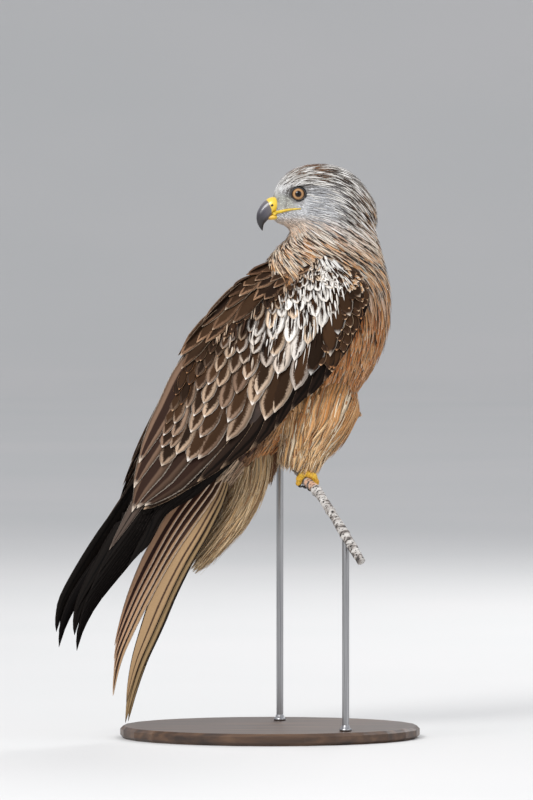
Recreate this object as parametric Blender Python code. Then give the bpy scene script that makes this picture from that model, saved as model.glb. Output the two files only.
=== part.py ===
# Red kite, perched with its head turned back over the right shoulder, on a display stand.
# Lengths are in millimetres until a mesh is made, +Z up, with the origin under the stand's plate.
import math
import random

import bmesh
import bpy
from mathutils import Vector

MM = 0.001
GAP = 0.3
WELD = 0.000002
FLAT = math.radians(1.5)

# How the bird sits: the body faces HEADING from +X, the head looks back the other way.
HEADING = math.radians(20)
HEAD_HEADING = math.radians(198)
MIDPLANE_X = 28.4
MIDPLANE_Y = 20.0

# Body and neck: seen place of the centre, half depth and half width, from the neck's top to the rump.
BODY = (
    (56, 536, 36, 30), (60, 522, 42, 34), (62, 507, 45, 37), (62, 490, 52, 43),
    (59, 470, 63, 51), (54, 444, 71, 57), (46, 412, 74, 60), (31, 382, 69, 58),
    (10, 352, 60, 52), (-8, 326, 48, 42), (-24, 300, 34, 31), (-38, 278, 22, 22),
)
NECK_TOP = 508
NECK_FOOT = 478

# Head, along its own axis from the nape to the bill: top, underside and half width.
HEAD_CENTRE = (52.0, 29.0, 533.0)
HEAD = (
    (-57.0, 526, 512, 5), (-54.5, 536, 504, 14), (-48.0, 546, 499, 21), (-41.0, 556, 496, 25.5),
    (-28.0, 567, 495, 29.5), (-13.5, 573, 495, 31), (1.0, 574.5, 496, 31), (18.0, 573.5, 500, 29.5),
    (31.5, 569, 506, 26), (41.0, 561.5, 511, 20.5), (47.0, 552, 514.5, 14.5), (51.0, 541, 516, 9.5),
)
HEAD_ROUND = 2.2
EYE_AT = (33.0, 544.0)
EYE_RADIUS = 7.6
EYE_DEPTH = 5.5
EYE_TURN = (0.32, 0.94, 0.06)
LID_RADIUS = 6.4
LID_THICK = 1.5
GAPE_FRONT = (50.5, 525.2)
GAPE_CORNER = (32.5, 529.4)
NOSTRIL = (53.6, 532.6)

# Upper bill: for each section the ridge, the cutting edge and the half width; then the lower bill.
UPPER_BILL = (
    (51.3, 540.6, 51.3, 524.9, 8.6), (55.5, 539.6, 55.0, 524.0, 8.0), (60.5, 536.6, 57.6, 522.4, 7.0),
    (65.0, 531.4, 59.6, 520.8, 5.9), (68.2, 524.8, 60.6, 518.8, 4.8), (68.2, 517.4, 61.2, 516.4, 3.5),
    (65.6, 511.2, 61.9, 512.0, 2.0), (62.8, 507.2, 62.3, 507.6, 0.5),
)
LOWER_BILL = (
    (51.3, 524.3, 51.3, 516.3, 7.6), (54.8, 523.2, 54.0, 515.6, 6.6), (57.2, 521.2, 57.0, 515.6, 5.0),
    (59.2, 518.6, 59.4, 516.2, 2.6),
)

# Folded wing, from the shoulder to the longest inner feathers: seen place and distance from the mid-plane.
WING_TOP = (
    (34, 486, 8), (2, 474, 4), (-20, 461, 2.5), (-33, 450, 2), (-54, 426, 2), (-73, 402, 2),
    (-95, 371, 2.5), (-110, 333, 4), (-127, 293, 7), (-137, 258, 12), (-140, 224, 18),
)
WING_EDGE = (
    (74, 480, 44), (100, 450, 64), (93, 421, 71), (77, 387, 72), (52, 352, 68), (27, 330, 62),
    (1, 299, 56), (-44, 268, 50), (-79, 249, 44), (-109, 237, 38), (-134, 227, 34),
)
SHOULDER_BULGE = 13.0
BULGE_REACH = 0.35
# Hand of the folded wing, with the long black primaries, from the wrist side to the wing tip.
HAND_TOP = (
    (-58, 372, 20), (-80, 335, 16), (-104, 292, 17), (-130, 248, 19), (-152, 212, 23), (-176, 171, 27),
    (-192, 138, 30), (-196, 112, 31), (-192, 92, 32),
)
HAND_EDGE = (
    (-10, 308, 46), (-42, 278, 40), (-74, 252, 37), (-104, 230, 34), (-119, 198, 34), (-136, 176, 34),
    (-160, 146, 33), (-178, 116, 32), (-188, 92, 32),
)

# Near half of the tented tail, from the root to the fork's tips.
TAIL_TOP = (
    (-46, 290, 3), (-72, 260, 3), (-98, 228, 3), (-119, 192, 3), (-138, 152, 3), (-151, 116, 3),
    (-159, 84, 3), (-162, 48, 3), (-160, 17, 3),
)
TAIL_EDGE = (
    (-33, 278, 14), (-46, 241, 22), (-61, 205, 26), (-78, 176, 27), (-95, 142, 26), (-110, 106, 26),
    (-122, 78, 25), (-132, 48, 21), (-140, 17, 16),
)
TWIST = 0.8
TAIL_ROOT = ((-30, 296, 24, 22), (-44, 274, 19, 18), (-60, 252, 13, 13), (-76, 232, 7, 8))

# Loose coats: the outline that their longest feathers reach, and how much lower their cores lie.
VENT = (
    (-20, 306, 26, 26), (-17, 276, 20, 24), (-23, 248, 17, 22), (-35, 221, 14, 17), (-54, 195, 10, 12),
    (-78, 166, 4, 5),
)
THIGH = (
    (58, 368, 0, 44, 32), (52, 342, 32, 46, 26), (46, 320, 33, 40, 22), (39, 302, 31.5, 32, 18),
    (33, 288, 30, 25, 15), (28, 272, 29.5, 20, 12), (22, 256, 29, 12, 9),
)
THIGH_CORE = 5
COAT = 3.5
LOCK_ROOT = 6.0
VENT_ROWS = ((0.14, 6, 0.0), (0.34, 6, 0.08), (0.5, 6, 0.0))
THIGH_ROWS = ((0.2, 5, 0.0), (0.4, 6, 0.08), (0.56, 6, 0.0))

# Feathers. Across a sheet 0 is its top edge and 1 its lower edge; along it 0 is the shoulder or root.
SEED = 7
ROOT_DEPTH = -3.2
OVERLAP = 1.7
SCAPULARS = ((0.0, 0.14, 0.36, 3), (0.12, 0.14, 0.31, 2), (0.24, 0.14, 0.26, 2), (0.37, 0.14, 0.14, 1))
COVERTS = (
    (0.05, 0.48, 0.84, 3), (0.15, 0.43, 0.86, 4), (0.25, 0.38, 0.86, 4), (0.35, 0.33, 0.85, 4),
    (0.46, 0.27, 0.82, 4), (0.57, 0.14, 0.66, 3),
)
INNER_FEATHERS = (
    ((0.5, 0.2), (0.985, 0.2), 22, 2.2), ((0.5, 0.38), (0.97, 0.45), 24, 0.8),
    ((0.5, 0.55), (0.94, 0.68), 24, -0.6),
)
EDGE_FEATHERS = (
    ((0.1, 0.86), (0.38, 0.93), 20, 0.4), ((0.24, 0.86), (0.52, 0.93), 20, 0.2),
    ((0.36, 0.86), (0.65, 0.92), 22, 0.0), ((0.46, 0.82), (0.78, 0.9), 24, -0.6),
    ((0.52, 0.72), (0.88, 0.88), 24, -1.6),
)
PRIMARIES = (
    ((0.12, 0.25), (0.62, 0.16), 15), ((0.12, 0.32), (0.7, 0.2), 16), ((0.12, 0.42), (0.79, 0.3), 17),
    ((0.12, 0.54), (0.88, 0.42), 17), ((0.12, 0.66), (0.95, 0.5), 17), ((0.12, 0.78), (0.995, 0.5), 18),
)
TAIL_FEATHERS = (
    (0.3, (0.705, 0.1), 13), (0.38, (0.76, 0.14), 15), (0.46, (0.81, 0.16), 16), (0.54, (0.885, 0.16), 18),
    (0.66, (0.91, 0.68), 18), (0.8, (0.995, 0.8), 18),
)
TAIL_STEP = 1.25

# Perch: seen place and distance from the mid-plane, from behind the bird to the near end.
PERCH = (
    (-6, 297, -92), (10, 287, -48), (19, 277.5, -28), (27, 268.5, 0), (35, 258.5, 28), (47, 248, 52),
    (61, 228, 80), (75, 206, 108), (90, 182, 137),
)
PERCH_RADIUS = 4.6
PERCH_SWELL = 1.09

# Feet: where on the perch they stand, then shift along it, sweep round it in degrees and thickness of toes.
FEET = (0.25, 0.5)
FRONT_TOES = ((-9.0, 128, 3.9), (0.0, 138, 4.2), (9.0, 124, 3.9))
HIND_TOE = (3.5, -104, 4.0)
CLAW_SWEEP = 46
CLAW_START = 5.5
CLAW_CLEAR = 0.9
CLAW_ARCH = 0.96
PALM_LIFT = 9.2
FOOT_ROOM = (17, 14.5, 11.5)

STAND_SIZE = (300.0, 236.0, 12.0)
STAND_EDGE = 3.0
ROD_RADIUS = 3.5
RODS = (0.125, 0.875)


def mix(a, b, f):
    return a + (b - a) * f


def along(points, s):
    """Smooth curve through evenly spaced points, s from 0 to 1."""
    last = len(points) - 1
    place = min(max(s, 0.0), 1.0) * last
    i = min(int(place), last - 1)
    f = place - i
    p1, p2 = points[i], points[i + 1]
    p0 = points[i - 1] if i else tuple(2 * a - b for a, b in zip(p1, p2))
    p3 = points[i + 2] if i + 2 <= last else tuple(2 * b - a for a, b in zip(p1, p2))
    return tuple(
        0.5 * (2 * b + (c - a) * f + (2 * a - 5 * b + 4 * c - d) * f * f + (3 * b - a - 3 * c + d) * f ** 3)
        for a, b, c, d in zip(p0, p1, p2, p3)
    )


FORWARD = Vector((math.cos(HEADING), math.sin(HEADING), 0))
RIGHT = Vector((math.sin(HEADING), -math.cos(HEADING), 0))
UP = Vector((0, 0, 1))
MIDPLANE = Vector((MIDPLANE_X, MIDPLANE_Y, 0))


def place(x, z, out):
    """The point seen at x and z from the front that lies out to the right of the bird's mid-plane."""
    y = MIDPLANE_Y + ((x - MIDPLANE_X) * math.sin(HEADING) - out) / math.cos(HEADING)
    return Vector((x, y, z))


def mirror(point):
    """The same point on the other side of the bird."""
    return point - RIGHT * (2 * (point - MIDPLANE).dot(RIGHT))


def normal_of(sheet, s, t):
    """Outward normal of a sheet or a round form at s, t."""
    step = 0.01
    by_s = sheet.point(min(s + step, 1), t) - sheet.point(max(s - step, 0), t)
    by_t = sheet.point(s, t + step) - sheet.point(s, t - step)
    return by_t.cross(by_s).normalized() * sheet.hand


class Panel:
    """A bowed sheet between a top edge and a lower edge, each of seen x, height and distance out."""
    hand = -1

    def __init__(self, top, edge, bulge=0.0):
        self.top = top
        self.edge = edge
        self.bulge = bulge

    def point(self, s, t):
        ax, az, a_out = along(self.top, s)
        bx, bz, b_out = along(self.edge, s)
        bow = math.sin(min(max(t, -0.3), 1.3) * math.pi / 2)
        swell = self.bulge * max(1 - s / BULGE_REACH, 0) * math.sin(math.pi * min(max(t, 0), 1))
        return place(mix(ax, bx, t), mix(az, bz, t), mix(a_out, b_out, bow) + swell)


class Loft:
    """A round form on a centre line, of seen x, height, distance out, half depth and half width."""
    hand = 1

    def __init__(self, stations):
        self.stations = tuple(row if len(row) == 5 else (row[0], row[1], 0) + row[2:] for row in stations)

    def point(self, s, t, grow=0.0):
        x, z, out, depth, width = along(self.stations, s)
        ahead = along(self.stations, min(s + 0.02, 1))
        behind = along(self.stations, max(s - 0.02, 0))
        run = (place(*ahead[:3]) - place(*behind[:3])).normalized()
        side = (RIGHT - run * run.dot(RIGHT)).normalized()
        front = side.cross(run)
        if front.dot(FORWARD) < 0:
            front = -front
        turn = t * 2 * math.pi
        reach = front * ((depth + grow) * math.cos(turn)) + side * ((width + grow) * math.sin(turn))
        return place(x, z, out) + reach

    def beyond(self, distance):
        """The point on the centre line's run that lies a distance past its end."""
        end, behind = place(*self.stations[-1][:3]), place(*along(self.stations, 0.98)[:3])
        return end + (end - behind).normalized() * distance


def material(name, colour, roughness):
    made = bpy.data.materials.new(name)
    made.use_nodes = True
    shader = made.node_tree.nodes["Principled BSDF"]
    shader.inputs["Base Color"].default_value = (*colour, 1)
    shader.inputs["Roughness"].default_value = roughness
    return made


def solid(name, points, faces, finish=None):
    """A closed mesh object from points in millimetres, with its faces turned outwards."""
    mesh = bpy.data.meshes.new(name)
    mesh.from_pydata([tuple(p * MM) for p in points], [], faces)
    body = bmesh.new()
    body.from_mesh(mesh)
    bmesh.ops.recalc_face_normals(body, faces=body.faces)
    if body.calc_volume(signed=True) < 0:
        bmesh.ops.reverse_faces(body, faces=body.faces)
    body.to_mesh(mesh)
    body.free()
    made = bpy.data.objects.new(name, mesh)
    bpy.context.collection.objects.link(made)
    if finish:
        mesh.materials.append(finish)
    return made


def rings(loops):
    """Faces that join equal loops of points into a tube with closed ends."""
    count = len(loops[0])
    faces = [tuple(range(count))]
    for k in range(len(loops) - 1):
        for i in range(count):
            j = (i + 1) % count
            low, high = k * count, (k + 1) * count
            faces.append((low + i, low + j, high + j, high + i))
    faces.append(tuple(range((len(loops) - 1) * count, len(loops) * count)))
    return [p for loop in loops for p in loop], faces


def loft_solid(name, form, start, end, steps, sides, grow=0.0, flip=False):
    loops = []
    for k in range(steps + 1):
        s = mix(start, end, k / steps)
        loop = [form.point(s, i / sides, grow) for i in range(sides)]
        loops.append([mirror(p) for p in loop] if flip else loop)
    return solid(name, *rings(loops))


def tube(name, centres, radii, sides, grow=0.0):
    """A round rod through the centres."""
    loops = []
    side = None
    for k, centre in enumerate(centres):
        run = centres[min(k + 1, len(centres) - 1)] - centres[max(k - 1, 0)]
        run.normalize()
        if side is None:
            side = run.orthogonal().normalized()
        side = (side - run * side.dot(run)).normalized()
        other = run.cross(side)
        radius = radii[k] + grow
        loops.append([
            centre + side * (radius * math.cos(a)) + other * (radius * math.sin(a))
            for a in (2 * math.pi * i / sides for i in range(sides))
        ])
    return solid(name, *rings(loops))


def ball(name, centre, radii, axes, across=12, down=8):
    """An ellipsoid on three axes."""
    points = []
    for k in range(1, down):
        tilt = math.pi * k / down
        for i in range(across):
            turn = 2 * math.pi * i / across
            spot = (math.sin(tilt) * math.cos(turn), math.sin(tilt) * math.sin(turn), math.cos(tilt))
            points.append(centre + sum((a * (r * c) for a, r, c in zip(axes, radii, spot)), Vector()))
    points.append(centre + axes[2] * radii[2])
    points.append(centre - axes[2] * radii[2])
    faces = []
    for k in range(down - 2):
        for i in range(across):
            j = (i + 1) % across
            faces.append((k * across + i, k * across + j, (k + 1) * across + j, (k + 1) * across + i))
    top, low = len(points) - 2, len(points) - 1
    last = (down - 2) * across
    for i in range(across):
        j = (i + 1) % across
        faces.append((i, j, top))
        faces.append((last + i, last + j, low))
    return solid(name, points, faces)


def plate(name, spine, sides, normals, halves, thick, tilt, crown, flip=False, columns=(-1, 0, 1)):
    """A thin vane: a strip of a few columns, split into triangles alike on both faces."""
    upper, lower = [], []
    for centre, side, normal, half, depth in zip(spine, sides, normals, halves, thick):
        for column in columns:
            lift = tilt * half * column - crown * half * column * column
            spot = centre + side * (half * column) + normal * lift
            upper.append(spot + normal * (depth / 2))
            lower.append(spot - normal * (depth / 2))
    points = [mirror(p) for p in upper + lower] if flip else upper + lower
    base, rows, wide = len(upper), len(spine), len(columns)
    faces = []
    for r in range(rows - 1):
        for c in range(wide - 1):
            a, b = r * wide + c, r * wide + c + 1
            d, e = a + wide, b + wide
            faces += [(a, b, e), (a, e, d), (base + a, base + e, base + b), (base + a, base + d, base + e)]
        for c in (0, wide - 1):
            a, d = r * wide + c, r * wide + c + wide
            faces += [(a, d, base + d), (a, base + d, base + a)]
    for r in (0, rows - 1):
        for c in range(wide - 1):
            a, b = r * wide + c, r * wide + c + 1
            faces += [(a, b, base + b), (a, base + b, base + a)]
    return solid(name, points, faces)


def vane(sheet, root, tip, width, low, high, thick=0.9, tilt=0.08, crown=0.06, rows=5, flip=False, sharp=0.3,
         columns=(-1, 0, 1)):
    """A feather laid along a sheet from root to tip, rising from low to high over it."""
    spots = []
    for k in range(rows):
        f = (k / (rows - 1)) ** 0.9
        s, t = mix(root[0], tip[0], f), mix(root[1], tip[1], f)
        normal = normal_of(sheet, s, t)
        spots.append((sheet.point(s, t) + normal * mix(low, high, f), normal, f))
    spine = [spot[0] for spot in spots]
    sides, normals, halves, depths = [], [], [], []
    for k, (centre, normal, f) in enumerate(spots):
        run = spine[min(k + 1, rows - 1)] - spine[max(k - 1, 0)]
        side = normal.cross(run).normalized()
        sides.append(side)
        normals.append(run.cross(side).normalized())
        full = mix(0.72, 1.0, min(f * 2.2, 1)) if f < 0.7 else mix(1.0, sharp, (f - 0.7) / 0.3)
        halves.append(width / 2 * full)
        depths.append(mix(thick, 0.55, f))
    return plate("vane", spine, sides, normals, halves, depths, tilt, crown, flip, columns)


def is_closed(shape):
    mesh = bmesh.new()
    mesh.from_mesh(shape)
    closed = len(mesh.faces) > 3 and all(edge.is_manifold for edge in mesh.edges)
    mesh.free()
    return closed


def apply_boolean(body, operation, others, solver="EXACT"):
    """Join the other closed meshes to the body, or cut them from it, and remove them."""
    group = bpy.data.collections.new("pieces")
    bpy.context.scene.collection.children.link(group)
    for other in others:
        bpy.context.collection.objects.unlink(other)
        group.objects.link(other)
    step = body.modifiers.new("join", "BOOLEAN")
    step.operation = operation
    step.solver = solver
    step.operand_type = "COLLECTION"
    step.collection = group
    shape = bpy.data.meshes.new_from_object(body.evaluated_get(bpy.context.evaluated_depsgraph_get()))
    if not is_closed(shape):
        step.solver = "MANIFOLD"
        shape = bpy.data.meshes.new_from_object(body.evaluated_get(bpy.context.evaluated_depsgraph_get()))
    body.modifiers.clear()
    body.data = shape
    for other in others:
        bpy.data.objects.remove(other)
    bpy.data.collections.remove(group)
    return body


def tidied(source, weld, flat):
    """The source mesh with tiny edges welded and flat neighbours merged, and whether it is closed."""
    mesh = bmesh.new()
    mesh.from_mesh(source)
    if weld:
        bmesh.ops.remove_doubles(mesh, verts=mesh.verts, dist=weld)
        bmesh.ops.dissolve_degenerate(mesh, edges=mesh.edges, dist=weld)
    if flat:
        bmesh.ops.dissolve_limit(mesh, angle_limit=flat, verts=mesh.verts, edges=mesh.edges)
    bmesh.ops.triangulate(mesh, faces=mesh.faces)
    return mesh, all(edge.is_manifold for edge in mesh.edges)


def keep_largest(body):
    """Merge what the joins split for nothing, and drop all but the largest closed surface."""
    for weld, flat in ((WELD, FLAT), (WELD, 0.0), (WELD / 20, FLAT), (WELD / 20, 0.0), (0.0, 0.0)):
        mesh, closed = tidied(body.data, weld, flat)
        if closed:
            break
        if weld:
            mesh.free()
    left = set(mesh.faces)
    best, best_size = [], -1.0
    while left:
        shell, edge = [], [left.pop()]
        while edge:
            face = edge.pop()
            shell.append(face)
            for side in face.edges:
                for other in side.link_faces:
                    if other in left:
                        left.remove(other)
                        edge.append(other)
        size = sum(f.calc_area() for f in shell)
        if size > best_size:
            best, best_size = shell, size
    keep = set(best)
    bmesh.ops.delete(mesh, geom=[f for f in mesh.faces if f not in keep], context="FACES")
    mesh.to_mesh(body.data)
    mesh.free()


def finish(body, name, look):
    """Name the node, give it its material and keep one closed surface."""
    keep_largest(body)
    body.name = name
    body.data.name = name
    body.data.materials.clear()
    body.data.materials.append(look)
    return body


def cut_level(source, name, above=None, below=None):
    """A copy of a closed body between two level planes, with its open ends filled."""
    made = bpy.data.objects.new(name, source.data.copy())
    bpy.context.collection.objects.link(made)
    mesh = bmesh.new()
    mesh.from_mesh(made.data)
    for level, side in ((above, -1), (below, 1)):
        if level is None:
            continue
        bmesh.ops.bisect_plane(
            mesh, geom=mesh.verts[:] + mesh.edges[:] + mesh.faces[:], plane_co=(0, 0, level * MM),
            plane_no=(0, 0, side), clear_outer=True, clear_inner=False)
        rim = [e for e in mesh.edges if e.is_boundary]
        bmesh.ops.edgeloop_fill(mesh, edges=rim)
    bmesh.ops.recalc_face_normals(mesh, faces=mesh.faces)
    bmesh.ops.triangulate(mesh, faces=mesh.faces)
    mesh.to_mesh(made.data)
    mesh.free()
    return made


HEAD_FORWARD = Vector((math.cos(HEAD_HEADING), math.sin(HEAD_HEADING), 0))
HEAD_LEFT = UP.cross(HEAD_FORWARD)


def head_point(forward, left, height):
    return Vector((HEAD_CENTRE[0], HEAD_CENTRE[1], 0)) + HEAD_FORWARD * forward + HEAD_LEFT * left + UP * height


def head_half_width(forward, height):
    """How far the side of the head lies from its mid-plane."""
    table = [row for row in HEAD]
    for a, b in zip(table, table[1:]):
        if a[0] <= forward <= b[0]:
            f = (forward - a[0]) / (b[0] - a[0])
            top, low, half = mix(a[1], b[1], f), mix(a[2], b[2], f), mix(a[3], b[3], f)
            y = (height - (top + low) / 2) / ((top - low) / 2)
            return half * (1 - min(abs(y), 1) ** HEAD_ROUND) ** (1 / HEAD_ROUND)
    return 0.0


def head_shape():
    loops = []
    steps, sides = 18, 16
    for k in range(steps + 1):
        forward, top, low, half = along(HEAD, k / steps)
        loop = []
        for i in range(sides):
            turn = 2 * math.pi * i / sides
            c, s = math.cos(turn), math.sin(turn)
            fat = (abs(c) ** HEAD_ROUND + abs(s) ** HEAD_ROUND) ** (-1 / HEAD_ROUND)
            loop.append(head_point(forward, half * fat * c, (top + low) / 2 + (top - low) / 2 * fat * s))
        loops.append(loop)
    return solid("head", *rings(loops))


def bill(name, sections, sides, round_top):
    loops = []
    for ridge_x, ridge_z, edge_x, edge_z, half in sections:
        loop = []
        for i in range(sides):
            turn = 2 * math.pi * i / sides
            f = (1 - math.cos(turn)) / 2
            wide = math.copysign(abs(math.sin(turn)) ** round_top, math.sin(turn))
            loop.append(head_point(mix(ridge_x, edge_x, f), half * wide, mix(ridge_z, edge_z, f)))
        loops.append(loop)
    return solid(name, *rings(loops))


def eye_place(side):
    forward, height = EYE_AT
    spot = head_point(forward, side * head_half_width(forward, height), height)
    turn = HEAD_FORWARD * EYE_TURN[0] + HEAD_LEFT * (EYE_TURN[1] * side) + UP * EYE_TURN[2]
    return spot, turn.normalized()


def eye_ball(name, side, grow=0.0):
    spot, out = eye_place(side)
    across = out.cross(UP).normalized()
    size = EYE_RADIUS + grow
    return ball(name, spot - out * EYE_DEPTH, (size, size, size), (across, out.cross(across), out), 12, 8)


def lids(side):
    """A soft ring of lid round the eye, drawn out towards the lore."""
    spot, out = eye_place(side)
    across = out.cross(UP).normalized()
    high = out.cross(across).normalized()
    count, sides = 12, 5
    points, faces = [], []
    for k in range(count):
        turn = 2 * math.pi * k / count
        radial = across * math.cos(turn) + high * math.sin(turn)
        centre = spot + radial * LID_RADIUS - out * 0.4
        for i in range(sides):
            a = 2 * math.pi * i / sides
            points.append(centre + radial * (LID_THICK * math.cos(a)) + out * (LID_THICK * math.sin(a)))
    for k in range(count):
        n = (k + 1) % count
        for i in range(sides):
            j = (i + 1) % sides
            faces.append((k * sides + i, k * sides + j, n * sides + j, n * sides + i))
    return solid("lids", points, faces)


def along_face(side, start, end, radii, lift, count=4):
    """A low ridge on the side of the face between two places of forward and height."""
    centres = []
    for k in range(count):
        f = k / (count - 1)
        forward, height = mix(start[0], end[0], f), mix(start[1], end[1], f)
        centres.append(head_point(forward, side * (head_half_width(forward, height) + lift), height))
    return tube("ridge", centres, [mix(radii[0], radii[1], k / (count - 1)) for k in range(count)], 5)


def perch_line(s):
    return place(*along(PERCH, s))


def perch_radius(s):
    return PERCH_RADIUS * (1 + 0.05 * math.sin(23 * s) + 0.04 * math.sin(61 * s + 1))


def perch_solid(name, grow=0.0, steps=22, sides=9):
    centres = [perch_line(k / steps) for k in range(steps + 1)]
    radii = [perch_radius(k / steps) for k in range(steps + 1)]
    return tube(name, centres, radii, sides, grow)


def foot_axes(s):
    centre = perch_line(s)
    run = (perch_line(s + 0.01) - perch_line(s - 0.01)).normalized()
    up = (UP - run * UP.dot(run)).normalized()
    front = up.cross(run)
    if front.dot(FORWARD) < 0:
        front = -front
    return centre, run, up, front


def toe_point(s, shift, turn, reach):
    centre, run, up, front = foot_axes(s)
    angle = math.radians(turn)
    return centre + run * shift + (up * math.cos(angle) + front * math.sin(angle)) * reach


def foot_parts(s):
    """The toes with their claws, and the palm, round the perch at s."""
    centre, run, up, front = foot_axes(s)
    toes, claws = [], []
    for shift, sweep, thick in FRONT_TOES + (HIND_TOE,):
        count = 6
        turns = [mix(0, sweep, k / (count - 1)) for k in range(count)]
        radii = [thick * mix(1.0, 0.74, k / (count - 1)) * (1 + 0.06 * (k % 2)) for k in range(count)]
        path = [
            toe_point(s, shift * mix(0.55, 1.0, min(k / 3, 1)), turn, PERCH_RADIUS * PERCH_SWELL + GAP + radius)
            for k, (turn, radius) in enumerate(zip(turns, radii))
        ]
        toes.append(tube("toe", path, radii, 7))
        start = sweep + math.copysign(CLAW_START, sweep)
        count = 6
        turns = [start + math.copysign(CLAW_SWEEP * k / (count - 1), sweep) for k in range(count)]
        radii = [mix(2.3, 0.35, (k / (count - 1)) ** 1.2) for k in range(count)]
        arches = [CLAW_ARCH * math.sin(math.pi * k / (count - 1)) for k in range(count)]
        lift = [PERCH_RADIUS + CLAW_CLEAR + radius + arch for radius, arch in zip(radii, arches)]
        path = [toe_point(s, shift, turn, reach) for turn, reach in zip(turns, lift)]
        claws.append((path, radii))
    palm = ball("palm", centre + up * PALM_LIFT, (7.6, 6.4, 4.6), (run, front, up), 12, 8)
    return toes, claws, palm


def leg(side, s, hock, yellow, horn):
    """Shank, palm and toes in one node, and a claw at each toe."""
    toes, claws, palm = foot_parts(s)
    centre, run, up, front = foot_axes(s)
    ankle = centre + up * (PERCH_RADIUS + 3)
    shank = tube("shank", [ankle, mix(ankle, hock[0], 0.5)] + hock, [5.4, 4.6, 4.4, 4.6], 10)
    foot = apply_boolean(shank, "UNION", [palm] + toes)
    apply_boolean(foot, "DIFFERENCE", [perch_solid("cut", GAP), torso_form(GAP)])
    finish(foot, "foot_" + side, yellow)
    for k, (path, radii) in enumerate(claws):
        claw = tube("claw", path, radii, 6)
        finish(claw, "claw_" + side + str(k + 1), horn)


def panel_core(name, sheet, s_range, t_range, lift, depth, rows, columns, flip):
    """The flesh and feather bases of a wing: a thick slab under its sheet."""
    outer, inner = [], []
    for r in range(rows):
        for c in range(columns):
            s, t = mix(*s_range, r / (rows - 1)), mix(*t_range, c / (columns - 1))
            spot, normal = sheet.point(s, t), normal_of(sheet, s, t)
            rim = min(r, rows - 1 - r, c, columns - 1 - c) == 0
            outer.append(spot + normal * (lift - (depth * 0.2 if rim else 0)))
            inner.append(spot + normal * (lift - (depth * 0.6 if rim else depth)))
    points = outer + inner
    if flip:
        points = [mirror(p) for p in points]
    base = len(outer)
    faces = []
    for r in range(rows - 1):
        for c in range(columns - 1):
            a, b = r * columns + c, r * columns + c + 1
            d, e = a + columns, b + columns
            faces += [(a, b, e), (a, e, d), (base + a, base + e, base + b), (base + a, base + d, base + e)]
    rim = [c for c in range(columns)]
    rim += [r * columns + columns - 1 for r in range(1, rows)]
    rim += [(rows - 1) * columns + c for c in range(columns - 2, -1, -1)]
    rim += [r * columns for r in range(rows - 2, 0, -1)]
    for a, b in zip(rim, rim[1:] + rim[:1]):
        faces.append((a, b, base + b, base + a))
    return solid(name, points, faces)


WING = Panel(WING_TOP, WING_EDGE, SHOULDER_BULGE)
HAND = Panel(HAND_TOP, HAND_EDGE)
TAIL_NEAR = Panel(TAIL_TOP, TAIL_EDGE)
TAIL_FAR = Panel([(x, z, -out) for x, z, out in TAIL_TOP], [(x, z, -TWIST * out) for x, z, out in TAIL_EDGE])
TORSO = Loft(BODY)


def row_of_vanes(sheet, start, first, last, count, reach, lift, flip, chance):
    """A tier across a sheet: its vanes side by side, each over the edge of the next."""
    span = (sheet.point(start, first) - sheet.point(start, last)).length
    spacing = span / max(count - 1, 1) if count > 1 else 24.0
    made = []
    for k in range(count):
        t = mix(first, last, k / (count - 1)) if count > 1 else first
        tip = (start + reach * chance.uniform(0.94, 1.06), t + chance.uniform(-0.012, 0.012))
        made.append(vane(sheet, (start, t), tip, max(spacing * 1.3, 17.0), ROOT_DEPTH, lift, rows=3,
                         tilt=OVERLAP / spacing, crown=0.0, flip=flip, sharp=0.34,
                         columns=(-1, 1)))
    return made


def torso_form(grow=0.0):
    return loft_solid("torso", TORSO, 0, 1, 24, 18, grow)


def other_half(flip):
    """A block that fills the other wing's side of the mid-plane, with half a gap over."""
    far, wide, high = 260, 60, 620
    loops = []
    for forward in (-far, far):
        corners = ((-wide, 0), (GAP / 2, 0), (GAP / 2, high), (-wide, high))
        loops.append([MIDPLANE + FORWARD * forward + RIGHT * out + UP * level for out, level in corners])
    return solid("half", *rings([[mirror(p) for p in loop] for loop in loops] if flip else loops))


def wing(side, flip, look):
    """The covered arm and hand with scapulars, coverts, inner feathers and the long primaries."""
    chance = random.Random(SEED)
    core = panel_core("wing", WING, (0.0, 0.6), (0.02, 0.97), -1.2, 13.0, 8, 6, flip)
    pieces = [panel_core("hand", HAND, (0.0, 0.34), (0.08, 0.92), -1.0, 5.0, 5, 4, flip)]
    for start, first, last, count in SCAPULARS:
        pieces += row_of_vanes(WING, start, first, last, count, 0.165, 4.2, flip, chance)
    for start, first, last, count in COVERTS:
        pieces += row_of_vanes(WING, start, first, last, count, 0.145 + 0.05 * start, 2.8, flip, chance)
    for root, tip, width, high in INNER_FEATHERS:
        pieces.append(vane(WING, root, tip, width, -3.0, high, flip=flip, tilt=0.05, rows=4, sharp=0.35))
    for root, tip, width, high in EDGE_FEATHERS:
        pieces.append(vane(WING, root, tip, width, -4.0, high, flip=flip, tilt=-0.04, crown=0.1, rows=4,
                           columns=(-1, 1)))
    for number, (root, tip, width) in enumerate(PRIMARIES):
        level = 2.4 - 1.2 * number
        pieces.append(vane(HAND, root, tip, width, min(level, -1.6), level, flip=flip, tilt=0.0, crown=0.04,
                           rows=5, sharp=0.28))
    apply_boolean(core, "UNION", pieces)
    apply_boolean(core, "DIFFERENCE", [torso_form(GAP)])
    apply_boolean(core, "DIFFERENCE", [other_half(flip)])
    return finish(core, "wing_" + side, look)


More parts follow.
